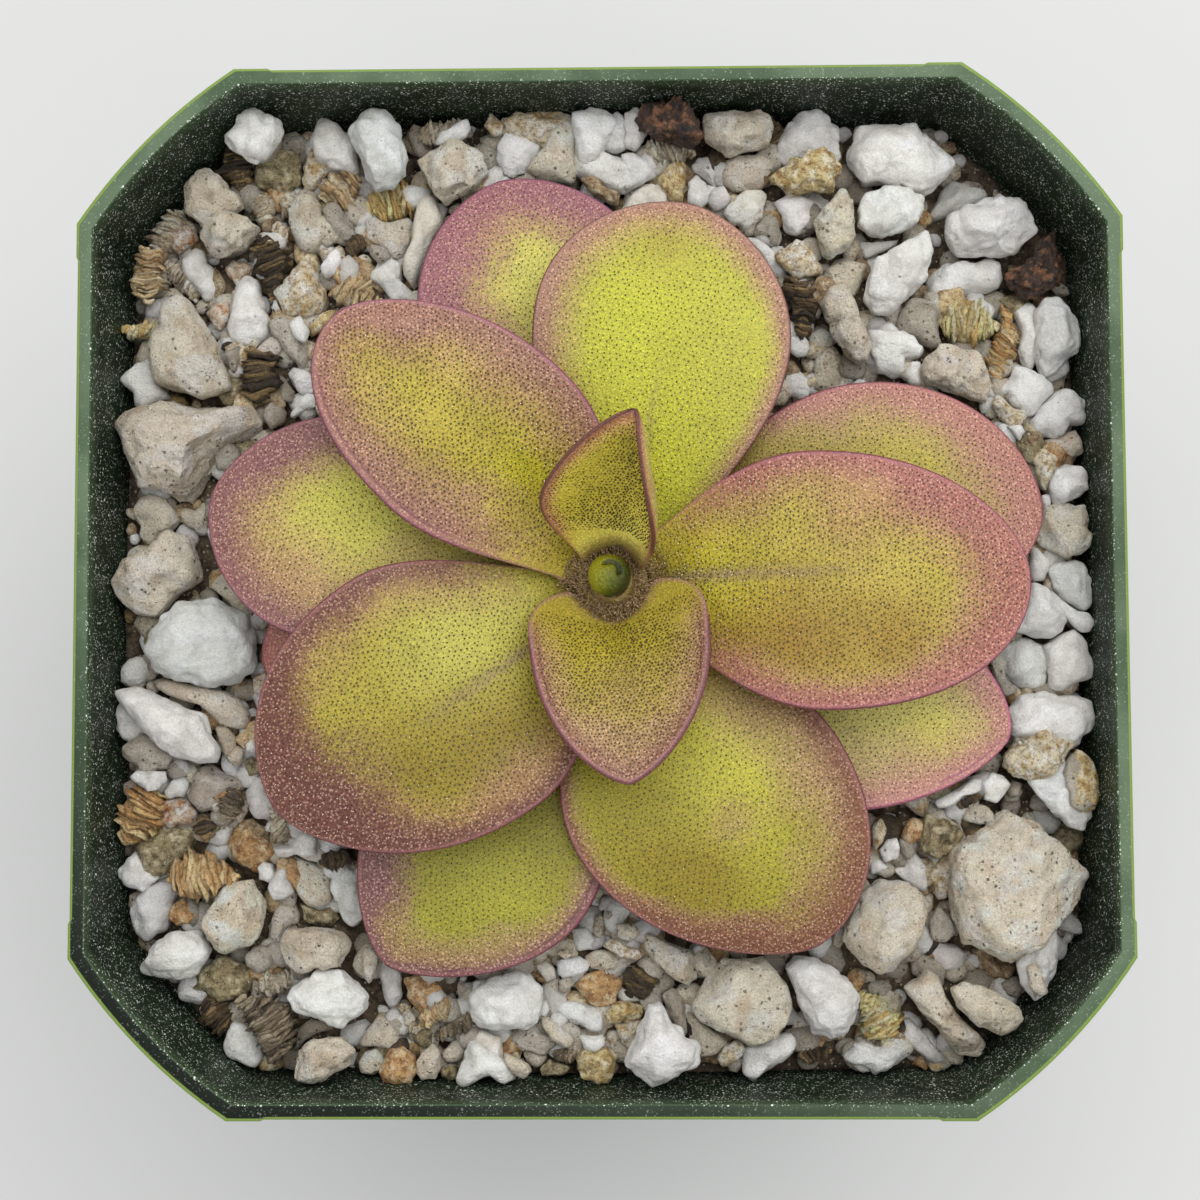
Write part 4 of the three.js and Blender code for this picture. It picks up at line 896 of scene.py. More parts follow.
# The grains of the surface as the photograph shows them. Each line has the kind, the CAD node that the
# grain replaces or a dash, and the pixels of its visible outline in turn, as x and y. A backslash carries a
# line on.
GRAIN_OUTLINES = """
W perlite_08 217 126 227 112 234 98 250 91 270 97 279 102 286 111 280 127 265 148 255 151 243 148 226 137
G - 270 145 283 131 299 129 308 137 310 147 300 158 280 158
Cv - 268 142 281 150 294 149 300 163 299 183 288 190 276 192 262 186 249 186 250 172 258 153
D - 222 150 234 143 249 150 253 158 251 167 250 180 238 189 226 180 212 175 219 163
P pumice_10 179 186 195 167 207 164 216 171 229 183 240 193 247 209 222 225 200 231 184 218 180 205
P pumice_11 199 236 206 220 220 210 232 208 247 216 262 228 252 238 246 251 232 257 218 262 206 255
Vs - 143 216 157 202 175 200 179 212 172 225 160 240 150 252 136 250 137 228
Vb vermiculite_01 128 258 158 262 158 300 160 312 145 322 120 318 117 305 124 283
Vg - 113 325 125 322 150 318 147 335 135 341 120 338 112 330
Vs - 146 242 165 254 185 270 197 284 189 296 172 286 152 268 138 252
X - 159 237 172 228 185 219 194 224 198 238 188 247 175 251 165 245
W - 179 256 192 243 200 248 207 262 214 280 212 295 200 297 190 280 180 270
Vs - 247 196 258 186 270 192 275 205 270 220 265 225 255 220 248 210
Vs - 277 200 285 185 298 190 296 202 280 215
Vs - 267 230 275 217 288 225 285 240 278 237
P - 285 205 295 193 312 192 319 200 321 215 324 232 318 247 308 251 299 248 291 235 287 220
G - 321 207 330 198 339 204 346 218 356 233 345 240 332 232 325 220
D - 250 250 257 233 268 232 277 240 290 250 293 262 288 268 281 280 275 300 271 308 262 285 254 270
X - 222 265 230 257 243 258 252 268 248 277 240 285 232 280
W - 234 280 243 273 257 277 260 296 268 318 266 338 252 347 232 347 224 325 230 305
Cc - 277 290 287 272 303 257 316 265 322 282 327 300 318 312 300 316 280 312 277 300
W - 320 268 330 253 338 249 343 262 335 275 325 280
Vb - 325 295 337 277 350 266 366 272 382 298 370 305 350 310 335 305
Cg - 307 322 320 309 338 305 330 318 315 330 308 335
X - 203 310 215 300 228 300 227 318 219 330 210 322
W - 307 125 313 108 322 102 335 108 347 122 352 130 356 148 357 160 340 157 325 150 312 143
W perlite_07 344 128 357 107 373 97 388 101 399 113 405 133 410 152 410 175 395 190 375 190 362 175 357 150
Vg - 361 200 368 180 380 175 397 175 411 185 415 197 412 212 395 226 380 224 366 212
Vb - 313 190 327 173 340 165 355 168 362 180 358 197 352 212 340 205 325 203
Cc - 301 165 305 150 315 142 325 152 336 162 325 172 312 190 303 188 300 175
G - 405 130 412 120 421 123 428 138 433 147 420 155 412 150
Vs - 418 115 432 105 440 110 455 101 462 108 466 118 455 130 440 136 428 133 419 125
W - 440 135 455 127 468 121 472 130 466 140 450 148 435 146
P pumice_09 415 158 432 149 450 137 458 136 470 142 485 155 493 172 480 187 465 196 450 208 443 214 430 190
G - 468 142 480 135 493 143 500 158 497 175 485 170
Cc - 496 97 519 91 535 90 550 88 572 92 578 103 570 112 560 120 545 128 530 125 515 122 505 115 497 110
Cc - 484 125 490 112 500 120 505 125 500 135 493 135
W - 495 150 505 128 515 124 535 130 543 138 540 155 530 165 515 175 500 170
P - 545 145 552 130 563 118 571 122 578 135 573 150 578 170 574 185 558 180 540 175 526 168 535 155
Wc - 403 255 411 232 413 215 417 195 425 189 433 192 440 210 441 220 433 235 425 255 418 280 413 290 402 270
P - 362 215 370 213 385 220 405 215 411 222 408 240 403 255 395 258 380 245 365 235
D - 342 240 352 230 362 237 368 243 360 250 352 258 345 252
W - 368 275 375 258 388 250 399 262 400 278 413 290 412 300 390 300 382 288
G - 368 243 378 243 390 255 378 262 368 252
W - 570 90 590 82 602 84 613 90 619 100 618 110 605 125 597 140 585 145 577 138 574 120 572 105
W - 597 145 602 128 610 114 617 110 624 114 628 125 634 135 625 150 612 152 600 147
W - 624 114 634 109 640 112 645 122 650 128 645 142 635 152 625 148
B bark_01 637 110 645 92 660 89 680 86 690 95 699 110 701 130 695 138 680 135 665 130 650 125 640 118
Vs - 645 155 652 133 660 127 680 133 690 145 693 157 680 160 665 165 655 170 648 162
Cg - 655 178 665 160 678 150 687 165 687 178 682 200 670 200 665 190
W - 570 160 583 145 597 147 612 153 625 160 640 165 641 178 630 188 623 194 610 190 596 183 573 173
W - 622 155 633 152 645 160 655 175 650 180 640 185 625 190
Wc - 618 210 628 195 640 184 652 180 662 185 668 193 668 203 640 212 625 215
Cb - 580 180 592 177 610 190 622 195 618 207 605 203 590 192
P pumice_13 701 120 705 113 720 109 745 112 760 109 770 118 774 128 770 145 760 151 740 153 725 157 704 140
D - 744 98 765 101 781 108 786 122 783 138 777 146 770 130 766 116 756 108
Wl - 692 160 700 152 712 152 720 160 724 170 726 178 715 184 705 175 693 168
Wl - 688 180 697 172 706 180 711 190 707 200 700 207 688 200
Wl - 707 200 713 185 724 183 732 195 725 205 715 210
Pp - 722 172 725 158 745 154 762 150 776 163 765 175 762 187 745 189 735 188 725 180
Wc - 725 210 733 197 748 188 762 188 768 192 762 210 755 220 745 226 735 222
G - 755 225 763 208 770 203 780 215 783 230 778 243 765 238 755 232
W - 745 232 757 232 772 245 785 258 786 266 775 275
W - 774 200 790 190 818 195 815 210 808 225 798 235 787 228 780 215
W - 775 155 780 133 788 118 800 110 817 107 830 113 838 124 841 140 842 155 830 165 800 165 785 163
Cg crumb_02 766 180 775 170 785 167 790 158 800 160 808 148 830 145 845 170 838 180 835 195 815 192 790 198
Cc - 778 248 790 242 805 238 815 248 822 262 823 272 810 275 795 278 785 268 776 258
D - 780 280 795 275 810 282 818 290 820 305 812 330 800 345 792 330 790 305
W perlite_03 845 150 856 125 872 120 915 123 940 143 957 160 957 170 935 195 925 200 875 185 862 190 844 163
P pumice_14 833 195 840 186 848 185 855 197 857 215 858 240 848 252 830 262 822 258 815 240 812 222 820 208
W perlite_05 851 210 862 193 880 184 900 183 915 190 928 195 930 208 920 225 900 235 880 240 860 236 852 228
W - 858 238 880 240 905 237 890 247 875 253 867 256
W - 935 205 945 185 955 175 970 178 985 185 993 193 980 200 960 207 935 217 930 212
W perlite_04 940 215 955 207 975 200 1000 192 1030 203 1041 232 1018 256 985 258 970 260 955 258 938 235
W perlite_06 858 300 870 258 885 247 905 238 930 220 938 245 930 270 925 285 912 297 890 318 870 317
W - 925 292 928 280 940 265 952 261 970 262 990 255 1001 262 1006 275 1003 287 985 290 945 297 930 297
B bark_02 1003 270 1020 262 1035 245 1042 232 1055 225 1064 250 1060 280 1045 297 1025 302 1003 282
Pp - 820 290 830 265 850 257 868 262 862 280 855 295 840 290 828 300
P pumice_15 818 305 830 290 845 288 855 300 862 320 872 345 868 360 856 362 843 350 830 330
W - 870 330 885 326 900 328 915 335 928 347 920 357 908 357 905 375 895 377 880 370 868 352
W - 905 375 912 360 922 360 920 375 922 383 910 382
P pumice_16 918 370 925 355 938 345 955 347 975 350 985 362 990 375 993 390 988 402 975 400 950 390 925 385
G - 900 310 912 298 925 296 940 300 945 315 943 335 945 345 935 347 920 340 905 330 897 322
Vg - 943 318 950 303 963 293 978 294 990 303 1000 317 1000 328 988 340 975 346 960 347 947 338 942 328
Vo - 1003 303 1012 308 1021 335 1023 342 1017 352 1005 380 998 388 992 380 985 350 995 340 1003 325
W - 1013 308 1022 303 1035 303 1042 312 1043 325 1040 345 1038 362 1030 372 1018 350 1023 335 1020 320
W - 1040 305 1050 297 1062 297 1073 305 1082 320 1086 340 1083 350 1072 358 1060 372 1047 374 1037 350
W - 1000 390 1015 368 1028 366 1040 373 1055 382 1056 393 1045 403 1035 415 1022 420 1010 408 1002 400
W - 1036 420 1045 405 1070 384 1082 387 1092 398 1093 412 1090 423 1078 422 1072 430 1060 438 1040 430
Cc - 990 405 998 395 1005 400 1015 410 1025 410 1027 418 1020 428 1012 430 1002 420
W - 1005 427 1020 425 1024 433 1018 442
Pp - 1045 440 1060 438 1078 428 1083 440 1086 452 1075 458 1062 457 1050 452
Cb - 1026 440 1032 433 1040 436 1037 446 1030 448
Cc - 1030 455 1038 445 1048 447 1062 460 1058 470 1050 485 1045 492 1038 475
W - 1052 485 1060 466 1073 460 1087 464 1095 476 1094 488 1085 495 1075 500 1065 507 1057 500
P pumice_17 1043 525 1048 512 1060 505 1087 507 1095 520 1093 545 1085 553 1073 558 1058 553 1045 545 1040 535
W - 1043 495 1050 493 1052 505 1045 515
W - 1030 545 1037 548 1047 560 1048 572 1043 580 1032 581 1029 570
W - 1052 568 1060 560 1078 558 1088 562 1096 575 1098 592 1098 605 1090 612 1068 600 1058 588
W - 1053 582 1068 600 1085 610 1097 612 1101 622 1098 631 1088 631 1075 620 1062 605
W perlite_16 1030 583 1042 582 1058 600 1070 612 1072 622 1065 632 1055 638 1035 638 1005 632 1012 622
W - 1000 655 1005 645 1022 638 1035 640 1047 647 1054 660 1052 672 1048 685 1040 693 1030 690 1003 675
W - 1048 645 1065 635 1080 627 1088 635 1095 650 1100 665 1098 677 1085 683 1070 690 1055 688 1053 658
G - 990 660 998 645 1003 660 1005 680 1020 692 1005 697 995 680
W - 1012 722 1015 708 1025 695 1052 690 1084 697 1097 701 1103 717 1097 732 1086 744 1077 748 1020 735
Cc crumb_01 996 765 1006 752 1028 725 1050 713 1070 729 1077 747 1070 762 1052 788 1022 787 1008 782 997 774
Cg - 1073 770 1083 748 1092 754 1101 766 1107 780 1107 798 1102 811 1090 814 1079 806 1080 793 1075 782
W perlite_15 1024 805 1031 794 1044 788 1062 785 1078 797 1095 825 1095 848 1088 863 1070 858 1050 843
W - 983 782 992 772 1003 776 1010 785 1005 796 996 803 984 800
P pumice_01 947 880 950 850 985 825 1003 808 1037 825 1070 858 1091 872 1072 908 1040 945 1010 962 960 940
W - 108 377 115 368 123 360 137 357 146 370 150 385 158 395 140 400 130 407 122 402 120 392 112 385
P pumice_03 158 322 149 332 147 372 152 390 185 400 203 409 239 395 222 352 203 315 188 292 176 285 159 297
P pumice_02 118 425 127 452 143 490 170 497 192 508 212 475 240 445 265 430 258 405 225 405 170 400 130 412
D - 237 370 242 352 252 347 270 352 282 350 280 362 276 390 268 400 252 402 242 392 238 380
G - 225 352 240 345 240 360 235 375 228 365
Pg - 266 320 275 312 300 318 305 340 310 350 309 367 300 367 288 355 278 345 268 335
W - 287 322 300 316 310 330 305 345 295 338
W - 283 370 290 363 305 368 310 375 312 390 300 393 290 383
W - 287 412 297 397 305 391 313 392 313 405 300 410 290 417
G - 262 405 270 395 280 403 284 410 282 420 268 428 260 415
G - 277 382 283 378 292 390 290 400 280 400
P - 128 505 135 495 150 490 165 497 172 508 176 520 168 528 155 535 148 547 135 535 137 525 130 517
P - 173 510 178 503 190 508 207 500 206 515 203 533 195 535 185 528 177 520
W - 203 530 207 510 215 515 225 545 222 560 208 550
P pumice_06 109 583 122 560 148 550 170 533 192 535 203 560 205 580 172 600 158 615 135 613 122 603
W perlite_01 148 645 152 620 180 593 215 587 245 600 258 632 253 668 240 680 218 683 178 680 155 668
P - 208 585 222 570 238 580 255 602 273 617 260 632 245 615 225 600
Cv - 140 640 145 625 152 622 152 642 143 647
G - 138 655 148 650 150 665 155 675 145 673
X - 250 678 262 672 270 684 262 697 250 692
W - 101 713 106 703 115 699 122 705 130 718 145 732 130 738 122 743 109 741 102 730
W perlite_02 109 688 135 682 168 697 206 713 225 748 222 759 198 759 178 755 157 742 130 716 114 697
P - 145 683 156 677 176 681 200 687 224 691 238 702 247 712 250 722 245 730 220 725 196 705 170 698
P - 213 727 226 727 235 738 234 752 224 760
Pp - 226 757 236 745 243 750 240 765 232 768
W - 244 744 252 738 258 745 254 754 246 752
Cv - 243 763 250 757 257 762 260 773 245 778
Pg - 122 748 130 740 145 732 158 742 170 752 173 758 166 769 152 772 140 771 130 762 123 756
W - 131 777 138 771 168 771 168 780 158 789 150 790 140 787
W - 159 792 170 779 180 777 187 785 182 797 168 799
Pg - 185 777 191 767 207 765 228 775 240 781 241 790 222 797 212 808 198 813 190 805 184 796
Wl - 242 790 252 778 260 776 268 795 274 810 265 822 252 818 243 805
Vk - 215 800 224 792 238 789 243 800 243 815 232 823 222 829 216 815
D - 192 826 198 815 211 812 219 824 216 833 209 840 200 837
Vo - 107 807 118 792 127 783 145 789 154 797 157 815 156 830 145 838 130 845 116 848 108 842 105 822
X - 157 812 159 802 178 798 187 806 196 815 192 827 178 826 165 830 157 822
Cv - 130 848 145 838 160 828 188 829 196 838 193 846 182 856 172 867 162 877 154 878 140 871 132 858
Co - 222 843 229 836 235 824 242 821 249 824 252 833 268 844 274 858 270 867 259 874 245 872 232 865
Vo vermiculite_02 168 878 176 864 196 850 220 859 237 876 232 885 207 899 195 903 182 895 170 884
Co - 167 914 174 904 183 898 190 906 199 916 188 924 176 927 169 921
W - 107 872 118 858 127 851 136 866 150 878 143 886 133 893 120 888 109 880
W - 127 912 136 895 148 884 162 878 174 884 177 893 170 906 168 922 160 933 147 944 135 935 129 925
W - 268 888 275 873 286 867 288 882 294 893 283 898 274 900
P - 287 882 289 862 300 859 315 867 328 873 330 890 331 901 318 909 307 907 295 896
W - 256 868 262 862 272 864 274 876 268 884 258 880
Vs - 268 807 278 813 290 822 304 829 296 838 287 848 277 846 270 834
W - 272 845 280 848 292 845 302 832 316 838 318 855 304 857 296 854 285 858 277 857
D - 317 864 320 852 330 848 344 852 348 864 335 872 325 872
Cv - 296 903 306 909 320 911 330 906 337 920 328 928 310 927 300 923
W - 328 882 335 872 346 868 358 880 360 900 361 922 350 930 340 922 333 905
P - 267 925 273 908 280 900 290 898 296 915 296 925 283 930 278 947 268 940
P pumice_12 198 922 214 897 229 883 256 879 272 897 264 926 252 946 226 953 212 946 202 935
W perlite_09 140 966 155 940 178 926 203 934 214 948 210 960 197 974 180 983 150 981 142 974
W - 152 1013 154 1000 161 989 173 984 183 988 192 1010 184 1020 176 1030 165 1030 155 1026
D - 185 1022 190 1007 200 1000 214 1004 219 1015 226 1033 216 1039 207 1048 197 1042 188 1033
Cv - 192 988 196 976 206 964 222 955 248 969 255 978 251 989 242 998 228 1001 218 1005 210 998
Vs - 252 992 256 978 264 968 275 974 281 967 291 973 292 982 286 995 276 999 258 998
G - 245 957 253 948 263 945 273 951 274 961 266 970 257 975 247 966
P pumice_19 277 942 284 931 297 925 332 928 346 931 352 942 349 957 343 968 303 974 290 967 281 957
W perlite_10 288 998 293 986 316 966 343 965 363 984 369 996 367 1009 343 1032 316 1022 294 1010
Vk vermiculite_03 237 1005 248 999 275 1000 288 1004 298 1024 293 1036 277 1063 264 1053 252 1038 245 1022
Cg - 250 1046 262 1050 276 1062 284 1066 273 1073 258 1072 251 1064
Pg - 218 1008 228 1002 237 1006 246 1022 249 1033 242 1039 231 1036 222 1025
W - 211 1056 214 1044 221 1036 230 1036 250 1045 253 1058 251 1071 243 1081 234 1078 214 1068
P pumice_18 294 1056 298 1046 309 1037 341 1036 358 1050 354 1066 328 1082 304 1089 293 1081
Pp - 289 1042 298 1029 308 1021 325 1026 333 1032 315 1036 300 1044 293 1056
P - 351 967 355 955 363 946 371 945 375 953 371 962 374 972 370 984 360 979
G - 348 1036 360 1026 372 1030 370 1040 358 1045
P - 361 952 368 945 378 955 376 972 370 985 362 975
W - 383 955 398 972 400 1000 394 1012 386 1012 381 1000 378 985 375 968
Co - 402 980 412 978 430 982 447 984 448 992 436 1008 420 1018 412 1012 404 1000
Vb - 420 1014 432 1004 446 996 454 1006 448 1018 436 1026 422 1028
Vk - 433 1036 440 1028 452 1020 464 1014 472 1020 474 1027 464 1034 450 1040 440 1043
Vs - 400 1006 408 1006 416 1018 420 1032 414 1036 404 1028
P - 357 1046 366 1030 378 1016 392 1014 402 1028 400 1042 390 1051 376 1048 362 1049
P - 358 1064 364 1054 376 1050 386 1060 382 1074 372 1078 360 1074
Co - 376 1078 380 1066 388 1054 402 1050 414 1060 414 1074 410 1086 396 1087 382 1086
P - 416 1062 424 1052 434 1042 440 1054 440 1070 436 1080 422 1081 417 1074
Pp - 440 1056 450 1044 462 1038 470 1042 466 1054 458 1064 446 1065
Cv - 440 1072 450 1067 458 1070 456 1082 448 1084 441 1080
Wc - 470 1040 480 1030 490 1034 502 1038 503 1060 498 1064 486 1056 474 1048
W - 456 1088 460 1072 466 1050 474 1048 490 1060 504 1068 516 1072 514 1088 502 1092 490 1084 462 1095
P - 504 1050 514 1056 528 1062 534 1070 524 1078 514 1074 506 1064
W perlite_11 467 1006 470 982 496 978 520 972 532 975 544 990 546 1004 540 1022 528 1028 500 1028 476 1026
Pg - 510 1042 518 1030 532 1026 540 1036 552 1038 556 1046 546 1060 536 1058 520 1052
P - 540 1018 548 1018 560 1030 574 1038 574 1046 566 1050 552 1042 542 1028
Vk - 554 1054 562 1050 574 1050 580 1058 574 1066 562 1066
Cv - 538 1072 548 1064 560 1066 572 1070 564 1078 552 1082 540 1080
Cg - 573 1066 582 1056 594 1052 610 1054 618 1064 614 1078 608 1090 596 1092 582 1084
Wc - 534 966 546 962 554 968 556 980 546 984 540 976
W - 556 962 566 958 580 956 590 964 586 972 574 976 562 980 558 974
G - 558 982 568 976 574 984 566 994 558 992
P - 584 958 596 950 612 952 620 960 616 970 602 972 590 970
W - 550 1012 562 1004 576 1003 596 1010 604 1020 602 1036 590 1034 570 1024
W - 578 1034 592 1036 604 1034 606 1044 596 1053 584 1050
Co - 572 986 584 976 602 970 618 972 622 984 616 1004 604 1010 590 1006
D - 620 982 630 968 644 962 656 970 662 982 650 996 636 1003 624 998
Cg - 602 1016 612 1006 630 1004 644 1008 640 1020 622 1024 608 1026
Cc - 614 1026 628 1024 642 1020 644 1034 634 1054 622 1046
W perlite_12 622 1080 626 1066 640 1040 648 1012 660 1008 670 1032 684 1052 699 1058 700 1080 \
676 1098 650 1112
P pumice_20 640 946 646 928 668 942 692 948 700 968 698 984 690 990 670 976 650 958
Pg - 662 996 672 988 684 994 686 1012 688 1034 680 1046 676 1030 668 1012
P pumice_04 688 1006 700 988 712 968 724 952 762 956 788 984 792 1010 778 1038 750 1046 724 1034 700 1022
P - 688 1012 702 1024 722 1036 730 1044 716 1056 700 1058 690 1046 688 1030
Cc - 716 1058 726 1044 738 1040 746 1048 740 1060 724 1068
W - 744 1052 760 1048 778 1040 792 1038 800 1050 792 1060 776 1072 754 1088 744 1076
D - 798 1060 806 1048 818 1046 830 1052 826 1064 808 1066
W perlite_13 780 962 792 950 812 950 832 966 846 974 862 992 862 1012 852 1036 836 1044 812 1038 800 1010
Vg - 858 1000 872 994 890 1000 902 1010 902 1034 896 1046 872 1044 858 1042
W - 842 1056 856 1044 874 1048 900 1046 906 1054 892 1068 876 1076 862 1066 848 1064
P pumice_05 856 894 878 878 902 880 924 892 932 910 926 934 918 952 894 974 876 978 858 962 838 938 848 912
P pumice_07 896 984 912 974 924 962 938 972 944 992 956 1012 976 1030 992 1046 984 1064 962 1064 938 1034
P pumice_08 948 986 962 978 976 980 1000 994 1024 1008 1028 1022 1014 1034 1002 1040 980 1030 956 1008
Cb - 974 952 986 950 1006 958 1018 968 1014 980 1000 982 984 972
G - 1002 984 1018 976 1026 988 1020 1000 1008 996
Pg - 930 922 940 908 952 920 958 934 948 944 934 940
Wl - 928 950 940 944 960 948 972 958 966 968 950 974 936 964
Wl - 902 1022 912 1020 930 1040 948 1062 934 1066 918 1054 904 1042
P - 1018 962 1028 958 1036 974 1040 988 1032 992 1022 982
W perlite_14 1036 966 1046 940 1058 920 1076 910 1084 940 1082 970 1068 1004 1056 1010 1042 990
Cc - 932 872 940 858 952 848 966 846 960 862 954 880 948 900 940 903 934 894
Cv - 918 830 928 814 942 820 960 826 968 834 956 848 936 860 922 852
W - 880 850 888 840 898 838 902 848 898 860 886 863
Cc - 872 826 882 818 888 830 884 844 874 852
G - 900 838 912 842 916 856 908 860 902 852
Wl - 895 872 902 860 916 852 926 866 932 882 930 894 918 890 904 880
W - 872 864 880 860 890 868 884 874 872 876
P - 960 820 968 806 982 804 994 812 994 822 980 826
D - 958 802 968 794 980 796 976 804 962 810
Pg - 1006 790 1016 784 1026 792 1020 802 1008 802
W - 934 800 948 794 962 786 972 778 982 780 980 792 964 796 950 806 938 808
W - 1056 922 1072 910 1084 922 1086 936 1072 934 1060 932
P - 836 932 846 922 850 936 842 950 834 948
W - 570 930 586 928 596 938 592 950 578 952
Cc - 556 952 566 948 574 954 566 960
P - 616 922 634 924 640 934 630 942 618 938
Cc - 600 944 612 936 628 946 646 950 640 960 624 958
G - 700 950 710 954 712 966 704 968
G - 764 958 776 954 788 966 784 978 772 974
G - 1006 786 1014 780 1024 784 1020 796 1010 798
"""

# Each kind of grain: its slot, what it is, its main hue and the hues of its patches, how blocky it is, and
# how rough.
KINDS = {
    "P": ("pumice", "stone", [(240, 229, 208), (228, 213, 190), (244, 237, 225)], 2.5, 1.1),
    "Pg": ("pumice", "stone", [(214, 205, 189), (196, 185, 167), (227, 220, 206)], 2.5, 1.2),
    "Pp": ("pumice", "stone", [(234, 221, 203), (222, 204, 186), (241, 233, 220)], 2.4, 0.9),
    "G": ("pumice", "stone", [(196, 187, 172), (172, 162, 146), (214, 206, 193)], 2.4, 0.9),
    "W": ("perlite", "foam", [(230, 228, 222), (220, 217, 210), (238, 237, 233)], 2.25, 1.0),
    "Wc": ("perlite", "foam", [(230, 224, 210), (218, 209, 192), (238, 234, 226)], 2.3, 0.9),
    "Wl": ("perlite", "foam", [(214, 210, 205), (200, 195, 189), (226, 223, 218)], 2.3, 0.8),
    "Vg": ("vermiculite", "plates", [(244, 218, 150), (214, 176, 96), (250, 240, 204)], 2.6, 1.0),
    "Vb": ("vermiculite", "plates", [(222, 194, 146), (170, 134, 86), (244, 228, 192)], 2.6, 1.0),
    "Vs": ("vermiculite", "plates", [(226, 214, 188), (180, 162, 130), (244, 238, 224)], 2.6, 0.9),
    "Vo": ("vermiculite", "plates", [(234, 190, 126), (186, 136, 74), (246, 220, 172)], 2.6, 1.0),
    "Vk": ("vermiculite", "plates", [(136, 120, 94), (78, 64, 46), (196, 182, 154)], 2.6, 1.0),
    "Cc": ("vermiculite", "crumb", [(228, 214, 184), (194, 164, 108), (242, 238, 226)], 2.4, 1.0),
    "Cg": ("vermiculite", "crumb", [(224, 202, 146), (178, 142, 78), (244, 234, 204)], 2.4, 1.1),
    "Co": ("vermiculite", "crumb", [(214, 170, 112), (168, 116, 64), (238, 214, 172)], 2.4, 1.0),
    "Cb": ("vermiculite", "crumb", [(170, 142, 104), (114, 88, 56), (216, 198, 164)], 2.4, 1.1),
    "Cv": ("vermiculite", "crumb", [(162, 148, 108), (100, 88, 54), (208, 198, 162)], 2.4, 1.1),
    "X": ("vermiculite", "crumb", [(216, 196, 170), (190, 124, 68), (238, 232, 224)], 2.7, 1.2),
    "D": ("bark", "plates", [(88, 70, 46), (40, 30, 20), (176, 148, 96)], 2.5, 1.0),
    "B": ("bark", "crumb", [(74, 50, 38), (36, 25, 20), (142, 98, 66)], 2.6, 1.8),
}
NODE_SHIFT = 0.9  # a grain lies within this much of its CAD solid
NODE_SCALE = (0.88, 1.1)  # and its outline is scaled by no less and no more than this toward the solid's size
LARGE_GRAIN = 10.4  # a grain longer than this gets the finest mesh
SUPPORTED_GAP = 0.7  # a grain this far above the fine mix gets another one under it
PLATE_PITCH = 0.26  # from one plate of a layered grain to the next
HIGHEST_LOOSE = 68.3  # no grain is raised further than this
MOST_UNDER = 3  # the most small grains that carry a higher one
DIRECTIONS = 240  # in which the outline of a grain is measured
FACETS, FOAM_FACETS = (6, 11), (3, 6)  # flat facets of a grain, and of a foamed one: from, and less than
CRACK_DEPTH = 0.16
PITS, PIT_SIZES, PIT_DEPTH = (16, 32), (0.13, 0.42), 0.85  # in large pumice; the depth is a share of the size
DARKEST, PALEST = 0.004, 0.9  # limits of a grain's tint
PLATE_SIDES = 12  # corners of each plate of a layered grain


def ball(level):
    """An icosphere's points and triangles."""
    mesh = bpy.data.meshes.new("ball")
    work = bmesh.new()
    bmesh.ops.create_icosphere(work, subdivisions=level + 1, radius=1)
    work.to_mesh(mesh)
    work.free()
    points = np.empty(len(mesh.vertices) * 3)
    mesh.vertices.foreach_get("co", points)
    faces = np.empty(len(mesh.loops), np.int32)
    mesh.loops.foreach_get("vertex_index", faces)
    bpy.data.meshes.remove(mesh)
    points = points.reshape(-1, 3)
    return points / np.linalg.norm(points, axis=1, keepdims=True), faces.reshape(-1, 3)


BALLS = {level: ball(level) for level in (1, 2, 3, 4, 5)}


def outline_radius(corners):
    """The distance from the middle of a closed outline to its edge, in evenly spaced directions."""
    side = np.roll(corners, -1, 0) - corners
    angle = 2 * np.pi * np.arange(DIRECTIONS) / DIRECTIONS
    ray = np.stack([np.cos(angle), np.sin(angle)], 1)
    cross = ray[:, None, 0] * side[None, :, 1] - ray[:, None, 1] * side[None, :, 0]
    cross = np.where(np.abs(cross) < 1e-9, 1e-9, cross)
    reach = (corners[:, 0] * side[:, 1] - corners[:, 1] * side[:, 0])[None] / cross
    along = (corners[None, :, 0] * ray[:, None, 1] - corners[None, :, 1] * ray[:, None, 0]) / cross
    reach = np.where((along >= -1e-6) & (along <= 1 + 1e-6) & (reach > 0), reach, 0).max(1)
    for _ in range(3):
        reach = (np.roll(reach, 1) + 2 * reach + np.roll(reach, -1)) / 4
    return np.maximum(reach, 0.15 * reach.mean())


def turned(angle):
    """Rows of x and y multiplied by this matrix are turned counterclockwise by the angle."""
    return np.array([[math.cos(angle), math.sin(angle)], [-math.sin(angle), math.cos(angle)]])


def polygon_middle(corners):
    """The middle of a closed outline, and its area."""
    following = np.roll(corners, -1, 0)
    cross = corners[:, 0] * following[:, 1] - following[:, 0] * corners[:, 1]
    area = cross.sum() / 2
    return ((corners + following) * cross[:, None]).sum(0) / (6 * area), abs(area)


def patched(hues, points, size, seed):
    """Each point's colour: the main hue with patches of the others."""
    rng = np.random.default_rng(seed)
    colours = [linear(hue) for hue in hues]
    tint = np.repeat(colours[0][None], len(points), 0)
    for layer, other in enumerate(colours[1:]):
        noise = rough_noise(points / size + 31.7 * layer + seed % 89, 2, seed + 40 + layer)
        tint = tint + (other - tint) * smooth_step(noise, 0.1, 0.5)[:, None]
    return tint * (1 + rng.normal(0, 0.05)) * (1 + rng.normal(0, 0.008, 3))


